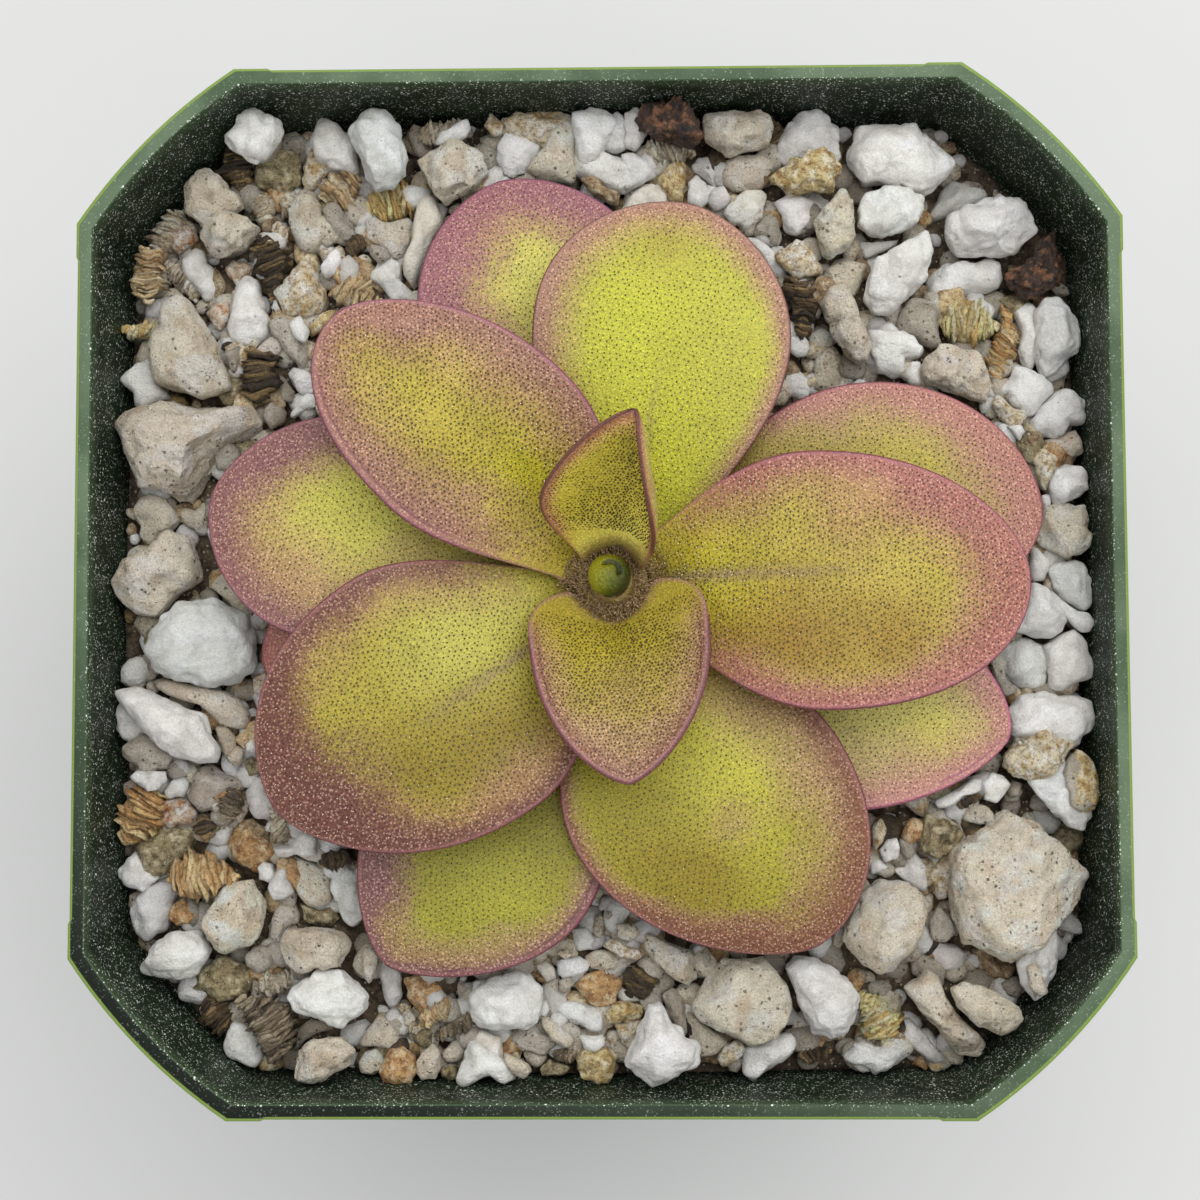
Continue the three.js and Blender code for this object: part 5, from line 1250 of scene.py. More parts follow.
def lump(radius, half_height, kind, seed, level):
    """A grain around its own middle: an angular, rough lump under a given outline."""
    slot, style, hues, blocky, rough = KINDS[kind]
    rng = np.random.default_rng(seed)
    d, faces = BALLS[level]
    c, z = np.hypot(d[:, 0], d[:, 1]), d[:, 2]
    turn = np.arctan2(d[:, 1], d[:, 0])
    unit = d * ((c ** blocky + np.abs(z) ** blocky) ** (-1 / blocky))[:, None]
    # flat facets, mostly on the top and the bottom, so that the outline stays
    for _ in range(rng.integers(*(FOAM_FACETS if style == "foam" else FACETS))):
        facing = rng.normal(size=3)
        facing[2] += math.copysign(0.5, facing[2])
        facing /= np.linalg.norm(facing)
        over = unit @ facing - rng.uniform(0.78, 0.98)
        unit = unit - np.where(over > 0, 0.9 * over, 0)[:, None] * facing
    position = (turn / (2 * np.pi) % 1) * len(radius)
    before = position.astype(int) % len(radius)
    part = position - np.floor(position)
    reach = radius[before] * (1 - part) + radius[(before + 1) % len(radius)] * part
    points = unit * np.stack([reach, reach, np.full_like(reach, half_height)], 1)
    mean = radius.mean()
    outward = d / np.array([1, 1, half_height / mean])
    outward /= np.linalg.norm(outward, axis=1, keepdims=True)
    there = points + seed % 97
    bulge = 0.06 * mean * rough_noise(there / (0.6 * mean), 2, seed)
    if style == "foam":
        relief = 0.34 * (np.abs(soft_noise(there / 1.25, seed + 3)) - 0.3)
        relief = relief + 0.14 * (np.abs(soft_noise(there / 0.6, seed + 4)) - 0.3)
    elif style == "crumb":
        relief = 0.2 * rough_noise(there / 0.7, 3 if level > 3 else 2, seed + 3, 0.7)
    else:
        relief = 0.11 * rough_noise(there / 1.1, 4 if level > 3 else 2, seed + 3, 0.6)
    relief = relief * rough * min(1, mean / 1.6) * (1.7 if level > 4 else 1)
    hollow = smooth_step(-relief, 0.0, 2.2 * relief.std())
    if level > 3:
        line = np.abs(soft_noise(there / 2.4, seed + 6) + 0.15 * soft_noise(there / 0.5, seed + 7))
        crack = smooth_step(line, 0.05, 0.0) * smooth_step(soft_noise(there / 3.1, seed + 8), 0.0, 0.3)
        relief, hollow = relief - CRACK_DEPTH * crack, np.maximum(hollow, crack)
    points = points + outward * (bulge + relief)[:, None]
    if level > 3 and slot == "pumice":
        for _ in range(rng.integers(*PITS) * (level - 3)):
            centre = points[np.argmax(d @ d[rng.integers(len(d))])]
            size = rng.uniform(*PIT_SIZES)
            near = np.exp(-(np.linalg.norm(points - centre, axis=1) / size) ** 2)
            points = points - outward * (PIT_DEPTH * size * near)[:, None]
            hollow = np.maximum(hollow, near)
    size = 0.45 if style == "crumb" else 1.6
    # darker in its hollows, cracks and pits: painted shade
    tint = patched(hues, points, size, seed) * (1 - 0.14 * hollow)[:, None]
    return points, faces, {"tint": np.clip(tint, DARKEST, PALEST)}


def plate_stack(corners, half_height, kind, seed):
    """A layered grain around its own middle: thin wavy plates side by side, seen edge on."""
    hues = KINDS[kind][2]
    rng = np.random.default_rng(seed)
    longest = np.linalg.eigh(np.cov(corners.T))[1][:, 1]
    across_plates = turned(math.atan2(longest[1], longest[0]) + rng.normal(0, 0.3))
    flat = corners @ across_plates.T
    start, end = flat[:, 0].min(), flat[:, 0].max()
    count = max(4, round((end - start) / PLATE_PITCH))
    around = PLATE_SIDES
    turn = 2 * np.pi * np.arange(around) / around
    circle = np.stack([np.cos(turn), np.sin(turn)], 1)
    shape = np.sign(circle) * np.abs(circle) ** 0.6  # a rounded square
    following = np.roll(flat, -1, 0)
    colours = [linear(hue) for hue in hues]
    wander = rng.uniform(0, 50, 3)
    parts = []
    for k in range(count):
        share = (k + 0.5) / count
        u = start + share * (end - start)
        crossing = (flat[:, 0] - u) * (following[:, 0] - u) < 0
        if crossing.sum() < 2:
            continue
        part = (u - flat[crossing, 0]) / (following[crossing, 0] - flat[crossing, 0])
        v = flat[crossing, 1] + part * (following[crossing, 1] - flat[crossing, 1])
        wide, centre = (v.max() - v.min()) / 2, (v.max() + v.min()) / 2
        rise = half_height * max(0.25, 1 - abs(2 * share - 1) ** 3) * rng.uniform(0.86, 1.06)
        wide, centre = wide * rng.uniform(0.7, 1.08), centre + wide * rng.normal(0, 0.07)
        edges = np.column_stack([circle * 2, np.full(around, 0.9 * k)]) + wander
        ragged = 1 + 0.3 * rough_noise(edges, 2, seed)
        edge = shape * np.array([wide, rise]) * ragged[:, None]
        thick = 0.5 * PLATE_PITCH * rng.uniform(0.8, 1.5)
        rings = [(0.0, thick), (0.7, thick), (1.0, 0.0), (0.7, -thick), (0.0, -thick)]
        tilt = rng.normal(0, 0.06, 2)
        points = []
        for scale, offset in rings:
            place = edge * scale if scale else np.zeros((1, 2))
            where = np.column_stack([place / 0.9, np.full(len(place), 0.22 * k)]) + wander
            wave = 0.4 * rough_noise(where, 2, seed + 3) + place @ tilt
            points.append(np.column_stack([u + offset + wave, centre + place[:, 0], place[:, 1]]))
        points = np.concatenate(points)
        i = 1 + np.arange(around)
        after = 1 + (i % around)
        quads = tiles(3, around, closed=True, offset=1)
        faces = np.concatenate([np.stack([np.zeros(around, int), after, i], 1),
                                quads[:, [0, 2, 1]], quads[:, [0, 3, 2]],
                                np.stack([2 * around + i, 2 * around + after,
                                          np.full(around, 1 + 3 * around)], 1)])
        pick = rng.random()
        hue = colours[0] * rng.uniform(0.75, 1.3)
        hue = hue + (colours[1 if pick < 0.3 else 2] - hue) * (0.7 if pick < 0.5 else 0.1)
        depth = np.abs(points[:, 1] - centre) / max(wide, 0.1) * 0.5 + np.abs(points[:, 2]) / rise * 0.5
        tint = hue[None] * (0.82 + 0.3 * np.clip(depth, 0, 1))[:, None]
        points[:, :2] = points[:, :2] @ across_plates
        parts.append((points, faces, {"tint": np.clip(tint, DARKEST, PALEST - 0.02)}))
    # a lump painted darker, as the shade deep in the gaps, fills the gaps between the plates
    shaded_core, faces, attributes = lump(outline_radius(corners) * 0.8, 0.75 * half_height, kind, seed, 2)
    parts.append((shaded_core, faces, {"tint": attributes["tint"] * 0.7}))
    return joined(parts)


def grain_shape(corners, half_height, kind, seed, level):
    if KINDS[kind][1] == "plates" and level > 2:
        return plate_stack(corners, half_height, kind, seed)
    return lump(outline_radius(corners), half_height, kind, seed, level)


MIX_HEIGHT = 63.7
CORNER_DROP, CROWN_DROP = 3, 2.2  # the mix lies this much lower in the corners, and under the crown
HOLLOW_REACH = 13  # of the hollow under the crown


def mix_level(x, y):
    """The height of the growing mix, as in the CAD; the small grains lie about it."""
    corner = np.clip((np.abs(x) + np.abs(y) - 42) / 22, 0, 1)
    from_crown = np.hypot(x - CROWN[0], y - CROWN[1])
    return MIX_HEIGHT - CORNER_DROP * corner - CROWN_DROP * np.exp(-(from_crown / HOLLOW_REACH) ** 2)


def wall_room(z):
    """How far the space inside the pot reaches at this height: along the axes, and along the diagonals."""
    inset = LIP + COLLAR_LEAN * (RIM_HEIGHT - z)
    return RIM_HALF - inset, (2 * RIM_HALF - CORNER_CUT) / math.sqrt(2) + 0.3 - inset


def wall_overlap(corners, z):
    """How far an outline reaches into the wall."""
    side, diagonal = wall_room(z)
    return max(np.abs(corners).max() - side, np.abs(corners).sum(1).max() / math.sqrt(2) - diagonal)


def kept_inside(corners, z):
    """The outline, moved inward as a whole if it reaches into the wall."""
    side, diagonal = wall_room(z)
    for _ in range(3):
        past = np.maximum(0, corners.max(0) + 0.05 - side) - np.maximum(0, 0.05 - side - corners.min(0))
        corners = corners - past
        for way in ((1, 1), (1, -1), (-1, 1), (-1, -1)):
            over = (corners @ way).max() / math.sqrt(2) + 0.05 - diagonal
            corners = corners - np.array(way) * max(0, over) / math.sqrt(2)
    return corners


class Heap:
    """The heights reached so far, on which the next grain comes to rest."""

    def __init__(self, floor, ceiling):
        self.top = floor
        self.ceiling = ceiling
        self.fixed = np.zeros(floor.shape, bool)

    def rest(self, points, x, y, share=50, sink=0.3):
        """The height at which a grain's middle lies when it is put down here.

        It wedges itself beside the large grains that have their places already, where 0.4 of it can."""
        i, j = cell_of(points[:, 0] + x), cell_of(points[:, 1] + y)
        below = points[:, 2] < 0
        free = below & ~self.fixed[i, j]
        if free.sum() > 0.4 * below.sum():
            below = free
        height = np.percentile((self.top[i, j] - points[:, 2])[below], share) - sink
        room = (self.ceiling[i, j] - 0.1 - points[:, 2])[points[:, 2] >= 0].min()
        return min(height, room)

    def add(self, points, x, y, z, fixed=False):
        i, j = cell_of(points[:, 0] + x), cell_of(points[:, 1] + y)
        np.maximum.at(self.top, (i, j), points[:, 2] + z)
        if fixed:
            self.fixed[i, j] = True


FILLER_KINDS = (["P"] * 6 + ["W"] * 6 + ["G"] * 3 + ["Pg"] * 3
                + ["Cc", "Co", "Cb", "Vb", "D", "Cv", "Vs", "Wl"])
FILLER_TRIES, FILLER_MOST = 14000, 2000  # places tried, and grains made at most
FILLER_REACH = 36  # they lie within this much of the middle, both ways
FILLER_HALF = (0.4, 1.0, 1.3, 1.3)  # their half widths: low and high of a draw, its power and a factor
FILLER_FINE = 1.22  # those with a smaller half width get the coarsest mesh
FILLER_HEIGHT = 1.5  # they reach no more than this above the mix level


def outline_at(pixels, z):
    """An outline in the photograph as it lies on the level z."""
    return at_pixel(pixels[:, 0], pixels[:, 1], z)[:, :2]


def put_loose(loose, slot, shape, place):
    """Adds a grain to those of its slot that get a mesh together."""
    points, faces, attributes = shape
    loose.setdefault(slot, []).append((points + np.array(place), faces, attributes))


def put_filler(heap, loose):
    """Small grains that fill the space under and between the large ones."""
    rng = np.random.default_rng(FILLER_SEED)
    made = 0
    under_leaves = shrunk(np.isfinite(heap.ceiling), FAR_UNDER_LEAVES)
    angle = np.linspace(0, 2 * np.pi, 16, endpoint=False)
    low, high, power, factor = FILLER_HALF
    for attempt in range(FILLER_TRIES):
        x, y = rng.uniform(-FILLER_REACH, FILLER_REACH, 2)
        size = rng.uniform(low, high) ** power * factor
        kind = FILLER_KINDS[rng.integers(len(FILLER_KINDS))]
        ring = np.stack([np.cos(angle), np.sin(angle)], 1) * size
        outside = wall_overlap(ring + (x, y), 65) > -0.2
        if made >= FILLER_MOST or under_leaves[cell_of(x), cell_of(y)] or outside:
            continue
        stretch = rng.uniform(0.75, 1.25)
        way = rng.uniform(0, np.pi)
        ring = ring * (stretch, 1 / stretch) * rng.uniform(0.85, 1.15, (len(angle), 1))
        level = 1 if size < FILLER_FINE else 2
        ring, seed = ring @ turned(way), FILLER_SHAPE_SEED + attempt
        points, faces, attributes = grain_shape(ring, 0.72 * size, kind, seed, level)
        z = heap.rest(points, x, y, 60, 0.25)
        if z + 0.6 * size > mix_level(x, y) + FILLER_HEIGHT:
            continue
        heap.add(points, x, y, z)
        # the small grains a little darker: painted shade, as they lie in the gaps between the large ones
        attributes["tint"] = attributes["tint"] * 0.92
        put_loose(loose, KINDS[kind][0], (points, faces, attributes), (x, y, z))
        made += 1


def node_grain(heap, looks, number, kind, node, pixels, loose):
    """A grain in the place and size of its CAD solid, with the outline that the photograph shows.

    Where it lies well above the fine mix, a grey grain under it carries it."""
    low, high = (np.array(corner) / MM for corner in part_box(node))
    z = (low[2] + high[2]) / 2
    corners = outline_at(pixels, z)
    wanted, got = high[:2] - low[:2], corners.max(0) - corners.min(0)
    seen, solid = (corners.min(0) + corners.max(0)) / 2, (low[:2] + high[:2]) / 2
    # the outline keeps its place and its size where they nearly agree with the solid's
    middle = solid + np.clip(seen - solid, -NODE_SHIFT, NODE_SHIFT)
    corners = (corners - seen) * np.clip(wanted / got, *NODE_SCALE) + middle
    corners = kept_inside(corners, z)
    centre = polygon_middle(corners)[0]
    level = 5 if max(wanted) > LARGE_GRAIN else 4
    points, faces, attributes = grain_shape(corners - centre, (high[2] - low[2]) / 2, kind, number, level)
    place = np.array([*centre, z])
    ring = (corners - centre) * 0.7
    bed = np.median(heap.top[cell_of(ring[:, 0] + centre[0]), cell_of(ring[:, 1] + centre[1])])
    if low[2] - bed > SUPPORTED_GAP:
        half = (low[2] + 0.5 - bed) / 2
        support = lump(outline_radius(ring), half, "Pg", SUPPORT_SEED + number, 2)
        put_loose(loose, "pumice", support, (*centre, low[2] + 0.4 - half))
    heap.add(points, *place, fixed=True)
    material = looks[KINDS[kind][0]]
    add_piece("grain_" + node, points + place, [faces], material, attributes, (node,))


def loose_grain(heap, number, kind, pixels, loose):
    """A grain that comes to rest on the heap, on smaller ones where the photograph shows it higher up."""
    guess = outline_at(pixels, 65.0)
    size = math.sqrt(polygon_middle(guess)[1])
    half = np.clip(0.42 * size, 0.5, 2.1)
    level = 4 if size > 3.8 else 3 if size > 1.7 or KINDS[kind][1] == "plates" else 2
    z = mix_level(*guess.mean(0)) + 1.2
    for step in range(MOST_UNDER + 1):
        corners = kept_inside(outline_at(pixels, z), z)
        centre = polygon_middle(corners)[0]
        points, faces, attributes = grain_shape(corners - centre, half, kind, number, level)
        z = heap.rest(points, *centre) if size > 1.9 else heap.rest(points, *centre, 78, 0.1)
        # from this height on, its outline is clear of the pot's wall
        wanted = z
        while wanted < HIGHEST_LOOSE and wall_overlap(outline_at(pixels, wanted), wanted) > 0.1:
            wanted += 0.25
        if wanted - z < 0.6 or step == MOST_UNDER:
            break
        under = kept_inside((corners - centre) * 0.9 + centre, z) - centre
        below = lump(outline_radius(under), 0.75, "Pg", CARRIER_SEED + 4 * number + step, 2)
        low = heap.rest(below[0], *centre)
        heap.add(below[0], *centre, low)
        put_loose(loose, "pumice", below, (*centre, low))
        z = min(wanted, low + 0.6 + half)
    heap.add(points, *centre, z)
    put_loose(loose, KINDS[kind][0], (points, faces, attributes), (*centre, z))


def make_grains(looks, heap):
    """Every grain on the surface: those that replace CAD nodes, the filler, and then the others."""
    rows = [line.split() for line in GRAIN_OUTLINES.strip().splitlines()]
    rows = [(number, kind, node, np.array(numbers, float).reshape(-1, 2))
            for number, (kind, node, *numbers) in enumerate(rows)]
    loose = {}
    for number, kind, node, pixels in rows:
        if node != "-":
            node_grain(heap, looks, number, kind, node, pixels, loose)
    put_filler(heap, loose)
    for number, kind, node, pixels in rows:
        if node == "-":
            loose_grain(heap, number, kind, pixels, loose)
    for slot, parts in loose.items():
        share = math.ceil(len(parts) / 3)
        for batch in range(0, len(parts), share):
            points, faces, attributes = joined(parts[batch:batch + share])
            name = f"loose_{slot}_{batch // share + 1}"
            add_piece(name, points, [faces], looks[slot], attributes)


# ---- pot and mix --------------------------------------------------------------------------------

RIM_HALF, RIM_HEIGHT = 38.0, 70.0
CORNER_CUT, CORNER_BOW = 11.4, 0.8  # what a cut corner takes off each side of the rim, and how far it bulges
COLLAR_FOOT, BODY_TOP_HALF, FOOT_HALF = 59.2, 36.6, 28.0  # a height, and half widths of the body
WALL, LIP = 1.0, 1.25  # thickness of the body, and of the rim
CORNER_REACH, FLAT_INSET = 2.6, 0.12  # each side lies back by the second, except this close to its corners
COLLAR_LEAN = 0.08  # the inside of the collar comes in by this much for each millimetre down
OUTER_ROUND, INNER_ROUND = 0.32, 0.2  # radii of the rim's edges
FLOOR_LOW, FLOOR_TOP, FOOT_WIDTH = 2.2, 3.2, 1.5  # the floor's two sides, and the foot's width
DRAIN_HOLES = [(0, 0, 3.6), (14, 14, 3.4), (-14, 14, 3.4), (14, -14, 3.4), (-14, -14, 3.4)]  # x, y, radius
NOTCH_WIDTH, NOTCH_HEIGHT = 9, 1.6  # of the notches in the foot, one in the middle of each side
CORNER_STEPS = 14  # segments along a cut corner
SHARP_ANGLE = 28  # edges that turn by more degrees than this stay sharp


def pot_ring(half, z, cut=None, step=FLAT_INSET):
    """One turn around the pot: straight sides, and cut corners that bulge a little."""
    cut = CORNER_CUT * half / RIM_HALF if cut is None else cut
    bow = CORNER_BOW * half / RIM_HALF
    end = half - cut - CORNER_REACH
    k = np.linspace(0, 1, CORNER_STEPS + 1)
    out = bow * (1 - (2 * k - 1) ** 2) / math.sqrt(2)
    bend = np.stack([half - cut * k + out, half - cut * (1 - k) + out], 1)
    start = [[half - step, 0], [half - step, end - 0.12], [half, end + 0.12], [half, end + 1.3]]
    finish = [[b, a] for a, b in start[:0:-1]]
    corner = np.concatenate([start, bend, finish])
    ring = []
    for quarter in range(4):
        cos, sin = round(math.cos(quarter * math.pi / 2)), round(math.sin(quarter * math.pi / 2))
        ring.append(np.stack([corner[:, 0] * cos - corner[:, 1] * sin,
                              corner[:, 0] * sin + corner[:, 1] * cos, np.full(len(corner), z)], 1))
    return np.concatenate(ring)


def inset_ring(half, z, by):
    """The same ring moved inward, with its corner cut kept parallel and its sides plain."""
    return pot_ring(half - by, z, CORNER_CUT * half / RIM_HALF - (2 - math.sqrt(2)) * by, 0)


def body_half(z):
    return FOOT_HALF + (BODY_TOP_HALF - FOOT_HALF) * z / COLLAR_FOOT


def ring_skin(rings, start, end, flipped=False):
    """Rings joined one to the next, with the first closed by a fan to start and the last by one to end."""
    around = len(rings[0])
    points = np.concatenate([*rings, [start, end]])
    i = np.arange(around)
    following = (i + 1) % around
    last = (len(rings) - 1) * around
    quads = tiles(len(rings), around, closed=True)
    fans = [(i, following), (last + following, last + i)]
    if flipped:
        quads, fans = quads[:, ::-1], [fan[::-1] for fan in fans]
    tips = (len(points) - 2, len(points) - 1)
    fans = [np.stack([*fan, np.full(around, tip)], 1) for fan, tip in zip(fans, tips)]
    return points, [quads, np.concatenate(fans)]


def make_pot(material):
    """The pot as one skin over its outside, rim and inside, with its holes and notches cut out."""
    rings = [pot_ring(FOOT_HALF - FOOT_WIDTH, FLOOR_LOW), pot_ring(FOOT_HALF - FOOT_WIDTH - 0.2, 0.2),
             pot_ring(FOOT_HALF - FOOT_WIDTH, 0), pot_ring(body_half(0) - 0.3, 0),
             pot_ring(body_half(0.5) - 0.08, 0.2), pot_ring(body_half(0.5), 0.5)]
    rings += [pot_ring(body_half(z), z) for z in np.linspace(6, COLLAR_FOOT - 0.3, 8)]
    rings += [pot_ring(BODY_TOP_HALF, COLLAR_FOOT), pot_ring(BODY_TOP_HALF + 0.2, COLLAR_FOOT + 0.05),
              pot_ring(RIM_HALF - 0.62, COLLAR_FOOT + 0.6), pot_ring(RIM_HALF - 0.5, COLLAR_FOOT + 0.9),
              pot_ring(RIM_HALF - 0.25, RIM_HEIGHT - 5), pot_ring(RIM_HALF, RIM_HEIGHT - 0.5)]
    for angle in np.linspace(0.25, 1, 4) * np.pi / 2:
        rings.append(pot_ring(RIM_HALF - OUTER_ROUND * (1 - math.cos(angle)),
                              RIM_HEIGHT - OUTER_ROUND + OUTER_ROUND * math.sin(angle)))
    for angle in np.linspace(0, 1, 4) * np.pi / 2:
        by = LIP - INNER_ROUND * (1 - math.sin(angle))
        rings.append(inset_ring(RIM_HALF, RIM_HEIGHT - INNER_ROUND * (1 - math.cos(angle)), by))
    rings += [inset_ring(RIM_HALF, z, LIP + COLLAR_LEAN * (RIM_HEIGHT - z)) for z in (69, 66, 63, 60.2)]
    rings += [inset_ring(BODY_TOP_HALF, COLLAR_FOOT, WALL + 0.1)]
    rings += [inset_ring(body_half(z), z, WALL) for z in (40, 20, FLOOR_TOP + 0.6)]
    rings += [inset_ring(body_half(FLOOR_TOP), FLOOR_TOP, WALL + 0.6)]
    points, faces = ring_skin(rings, (0, 0, FLOOR_LOW), (0, 0, FLOOR_TOP), flipped=True)
    pot = add_piece("pot_body", points, faces, material, None, ("pot",))
    cutters = []
    for x, y, r in DRAIN_HOLES:
        bpy.ops.mesh.primitive_cylinder_add(vertices=48, radius=r * MM, depth=4 * MM,
                                            location=(x * MM, y * MM, FLOOR_LOW * MM))
        cutters.append(bpy.context.object)
    for wide, deep in ((NOTCH_WIDTH, 3 * FOOT_HALF), (3 * FOOT_HALF, NOTCH_WIDTH)):
        bpy.ops.mesh.primitive_cube_add(size=1, location=(0, 0, 0))
        cutters.append(bpy.context.object)
        cutters[-1].scale = (wide * MM, deep * MM, 2 * NOTCH_HEIGHT * MM)
    for cutter in cutters:
        cut = pot.modifiers.new("cut", "BOOLEAN")
        cut.operation, cut.solver, cut.object = "DIFFERENCE", "EXACT", cutter
    bpy.context.view_layer.update()
    mesh = bpy.data.meshes.new_from_object(pot.evaluated_get(bpy.context.evaluated_depsgraph_get()))
    pot.modifiers.clear()
    pot.data = mesh
    for cutter in cutters:
        bpy.data.objects.remove(cutter)
    mesh.polygons.foreach_set("use_smooth", np.full(len(mesh.polygons), True))
    mesh.set_sharp_from_angle(angle=math.radians(SHARP_ANGLE))


BED_DROP = 0.9  # the fine mix lies this much under the mix level
BED_GAP = 0.35  # between the fine mix and the pot


def make_bed(material):
    """The fine mix under the grains: a lumpy top, and plain sides that follow the pot."""
    outline = inset_ring(BODY_TOP_HALF + 1.0, 0, 1.7)[:, :2]
    top = []
    for share in np.linspace(0.04, 1, 60):
        place = outline * share
        flat = np.column_stack([place, np.zeros(len(outline))])
        height = mix_level(place[:, 0], place[:, 1]) - BED_DROP
        top.append(np.column_stack([place, height + 0.35 * rough_noise(flat / 1.3, 4, BED_SEED)]))
    low = FLOOR_TOP + BED_GAP
    sides = [inset_ring(body_half(z), z, WALL + 0.15 + BED_GAP) for z in (58.5, 40, 20, low)]
    points, faces = ring_skin([*top, *sides], (0, 0, float(top[0][:, 2].mean())), (0, 0, low))
    add_piece("fine_mix", points, faces, material, None, ("growing_mix",))


BUD_HUES = leaf_hues((96, 104, 20), (146, 142, 34), (48, 54, 16), (150, 120, 60), (120, 80, 60),
                     (150, 120, 60), line=(26, 30, 4))


def make_bud(material):
    """The next leaf, still rolled up into a ball, with the rolled edge as a slit across its top."""
    low, high = (np.array(corner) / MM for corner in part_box("crown_bud"))
    middle, half = (low + high) / 2, (high - low) / 2
    d, faces = BALLS[4]
    points = d * half * 0.95
    # the slit curls over the top toward the right
    x, y = d[:, 0] - 0.16, d[:, 1] - 0.1
    angle = np.arctan2(y, x)
    spiral = np.hypot(x, y) - 0.36 - 0.1 * angle
    where = (d[:, 2] > 0) * smooth_step(angle, -0.9, 0.0) * (1 - smooth_step(angle, 2.0, 2.8))
    slit = np.exp(-(spiral / 0.13) ** 2) * where
    step = smooth_step(spiral, 0.3, 0.03) * smooth_step(spiral, -0.3, 0.0) * where
    points = points * (1 - 0.28 * slit + 0.05 * step)[:, None]
    points = points * (1 + 0.015 * soft_noise(d * 3))[:, None]
    zeros = np.zeros(len(d))
    attributes = {"blush": zeros, "deep": zeros, "vein": zeros, "crease": 1.6 * slit, "under": zeros,
                  "lime": np.clip(0.3 - 0.9 * d[:, 0] + 0.3 * d[:, 1], 0, 1),
                  "olive": np.clip(0.25 + 1.1 * d[:, 0] - 0.5 * d[:, 1] - 0.3 * d[:, 2], 0, 1.2),
                  "edge": zeros + 5, "fuzz": np.clip(-0.1 - d[:, 2], 0, 1) * 2}
    add_piece("rolled_bud", points + middle, [faces], material, attributes, ("crown_bud",))


CROWN_TOP = 70.9
HAIRS, HAIR_RADIUS, HAIR_LENGTHS = 2200, 0.034, (0.35, 0.7)
HAIR_HUE = (206, 172, 132)


def make_crown(material, hair_material):
    """The downy mound that joins the leaf bases around the stem's top, with its hole for the stem."""
    around, rows = 64, 14
    turn = 2 * np.pi * np.arange(around) / around
    # from the underside of the hole up over the top, down its outside and back under it
    radius = np.concatenate([[1.95], np.linspace(1.2, 2.6, rows), [2.5, 1.95]])
    height = np.concatenate([[69.2], CROWN_TOP - 0.85 * np.linspace(0, 1.4, rows) ** 1.3, [69.0, 68.9]])
    points = []
    for r, z in zip(radius, height):
        place = np.stack([CROWN[0] + r * np.cos(turn), CROWN[1] + r * np.sin(turn), np.full(around, z)], 1)
        place[:, 2] += 0.13 * rough_noise(place / 0.5, 3, CROWN_SEED)
        points.append(place)
    points = np.concatenate(points)
    # the last ring is joined to the first
    first = np.arange(around)
    following = (first + 1) % around
    last = (len(radius) - 1) * around
    closing = np.stack([last + first, first, following, last + following], 1)
    quads = tiles(len(radius), around, closed=True)
    ones, zeros = np.ones(len(points)), np.zeros(len(points))
    attributes = {key: zeros for key in ("deep", "vein", "crease", "under", "olive")}
    attributes.update(fuzz=0.6 * ones, blush=0.5 * ones, lime=0.6 * ones, edge=5 * ones)
    add_piece("leaf_bases", points, [quads, closing], material, attributes)
    rng = np.random.default_rng(HAIR_SEED)
    r, turn = 1.5 + 2.4 * rng.random(HAIRS) ** 1.2, rng.uniform(0, 2 * np.pi, HAIRS)
    cos, sin = np.cos(turn), np.sin(turn)
    foot = np.stack([CROWN[0] + r * cos, CROWN[1] + r * sin, CROWN_TOP - 0.5 * (r - 1.5)], 1)
    axis = np.stack([cos, sin, np.ones(HAIRS)], 1) + rng.normal(0, 0.5, (HAIRS, 3))
    axis /= np.linalg.norm(axis, axis=1, keepdims=True)
    hue = linear(HAIR_HUE) * rng.uniform(0.25, 1.0, (HAIRS, 1))
    length = rng.uniform(*HAIR_LENGTHS, HAIRS)
    points, faces, attributes = spindles(foot, axis, np.full(HAIRS, HAIR_RADIUS), length, hue)
    add_piece("crown_hairs", points, [faces], hair_material, attributes)


# ---- stage --------------------------------------------------------------------------------------

# These are in metres and watts.
FLOOR_SIZE = 12
LAMP_PLACE, LAMP_SIZE, LAMP_POWER = (0.11, 0.22, 0.50), 0.5, 2.2
LIT_POINT = (0, 0, 0.065)
SKY, SKY_STRENGTH = (0.955, 0.968, 0.985, 1), 1.0


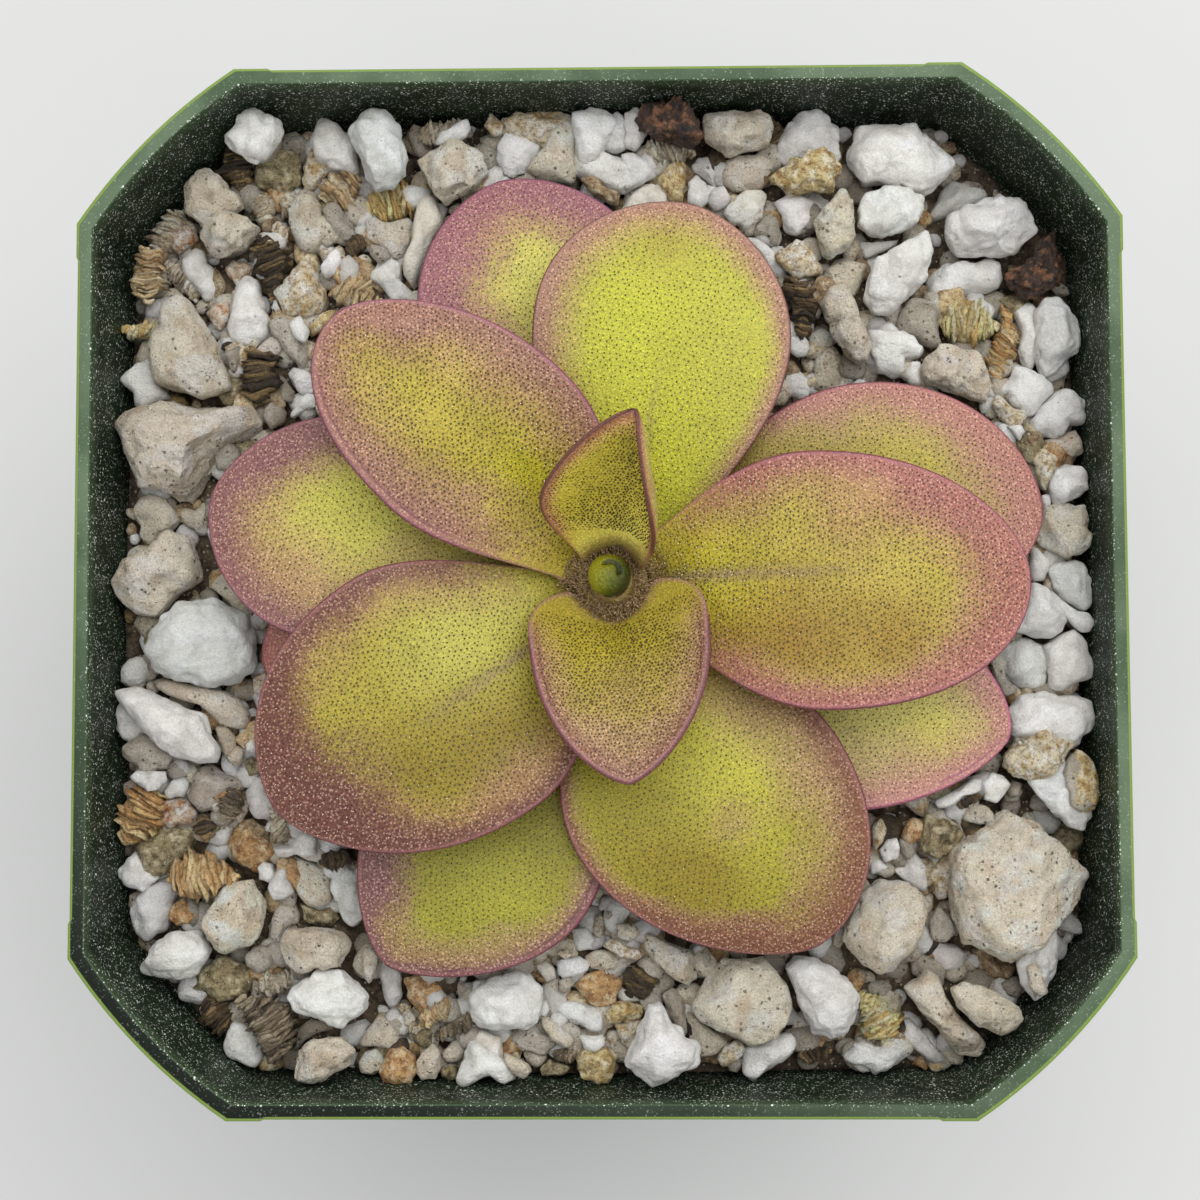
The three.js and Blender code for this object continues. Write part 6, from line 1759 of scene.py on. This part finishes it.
def make_stage():
    bpy.ops.mesh.primitive_plane_add(size=FLOOR_SIZE, location=(0, 0, 0))
    floor = bpy.context.object
    floor.name = "floor"
    floor.data.materials.append(floor_look())
    world = bpy.data.worlds.new("studio")
    world.use_nodes = True
    sky = world.node_tree.nodes["Background"]
    sky.inputs["Color"].default_value = SKY
    sky.inputs["Strength"].default_value = SKY_STRENGTH
    light = bpy.data.lights.new("key", "AREA")
    light.size, light.energy = LAMP_SIZE, LAMP_POWER
    lamp = bpy.data.objects.new("key", light)
    lamp.location = LAMP_PLACE
    toward = Vector(np.array(LIT_POINT) - np.array(LAMP_PLACE))
    lamp.rotation_euler = toward.to_track_quat("-Z", "Y").to_euler()
    scene = bpy.context.scene
    scene.collection.objects.link(lamp)
    scene.world = world
    scene.view_settings.view_transform = "Standard"
    scene.view_settings.look = "None"


# ---- the whole ----------------------------------------------------------------------------------

make_camera()
make_stage()
make_pot(plastic_look())
make_bed(soil_look())

stem_material = stem_look()
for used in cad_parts["stem_with_roots"].material_slots:
    used.material = stem_material

leaves = [Leaf(*row) for row in LEAVES]
covers = [leaf_cover(leaf) for leaf in leaves]
glands = gland_look()
hidden = np.zeros((CELLS, CELLS), bool)
for number, (leaf, look) in enumerate(zip(leaves, LEAF_LOOKS), 1):
    make_leaf(number, leaf, look, leaf_look(f"leaf_{number:02d}", look["hues"], look["shade"]))
    make_glands(number, leaf, look, hidden, glands)
    hidden |= shrunk(covers[number - 1][0], LEAF_BORDER)
    if number == 1:
        bud_material = leaf_look("bud", BUD_HUES)
        make_bud(bud_material)
        make_crown(bud_material, glands)

LOOKS = {
    "pumice": stone_look("pumice", pore_shade=(104, 92, 76), pore_share=0.26, stain=(232, 220, 202), pores=1.5,
                         relief=0.85, sandy=1.5),
    "perlite": stone_look("perlite", pore_shade=(144, 136, 126), pore_share=0.06, stain=(236, 234, 231), pores=1.7,
                          relief=0.4, sandy=0.9),
    "vermiculite": mica_look("vermiculite", stain=(150, 118, 80), glint=(252, 244, 226), shine=0.7),
    "bark": mica_look("bark", stain=(90, 74, 60), glint=(190, 160, 110), shine=0.35),
}
axis = (np.arange(CELLS) + 0.5) * GRID - REACH
ground = mix_level(*np.meshgrid(axis, axis, indexing="ij")) - BED_DROP
make_grains(LOOKS, Heap(ground, np.minimum.reduce([underside for _, underside in covers])))
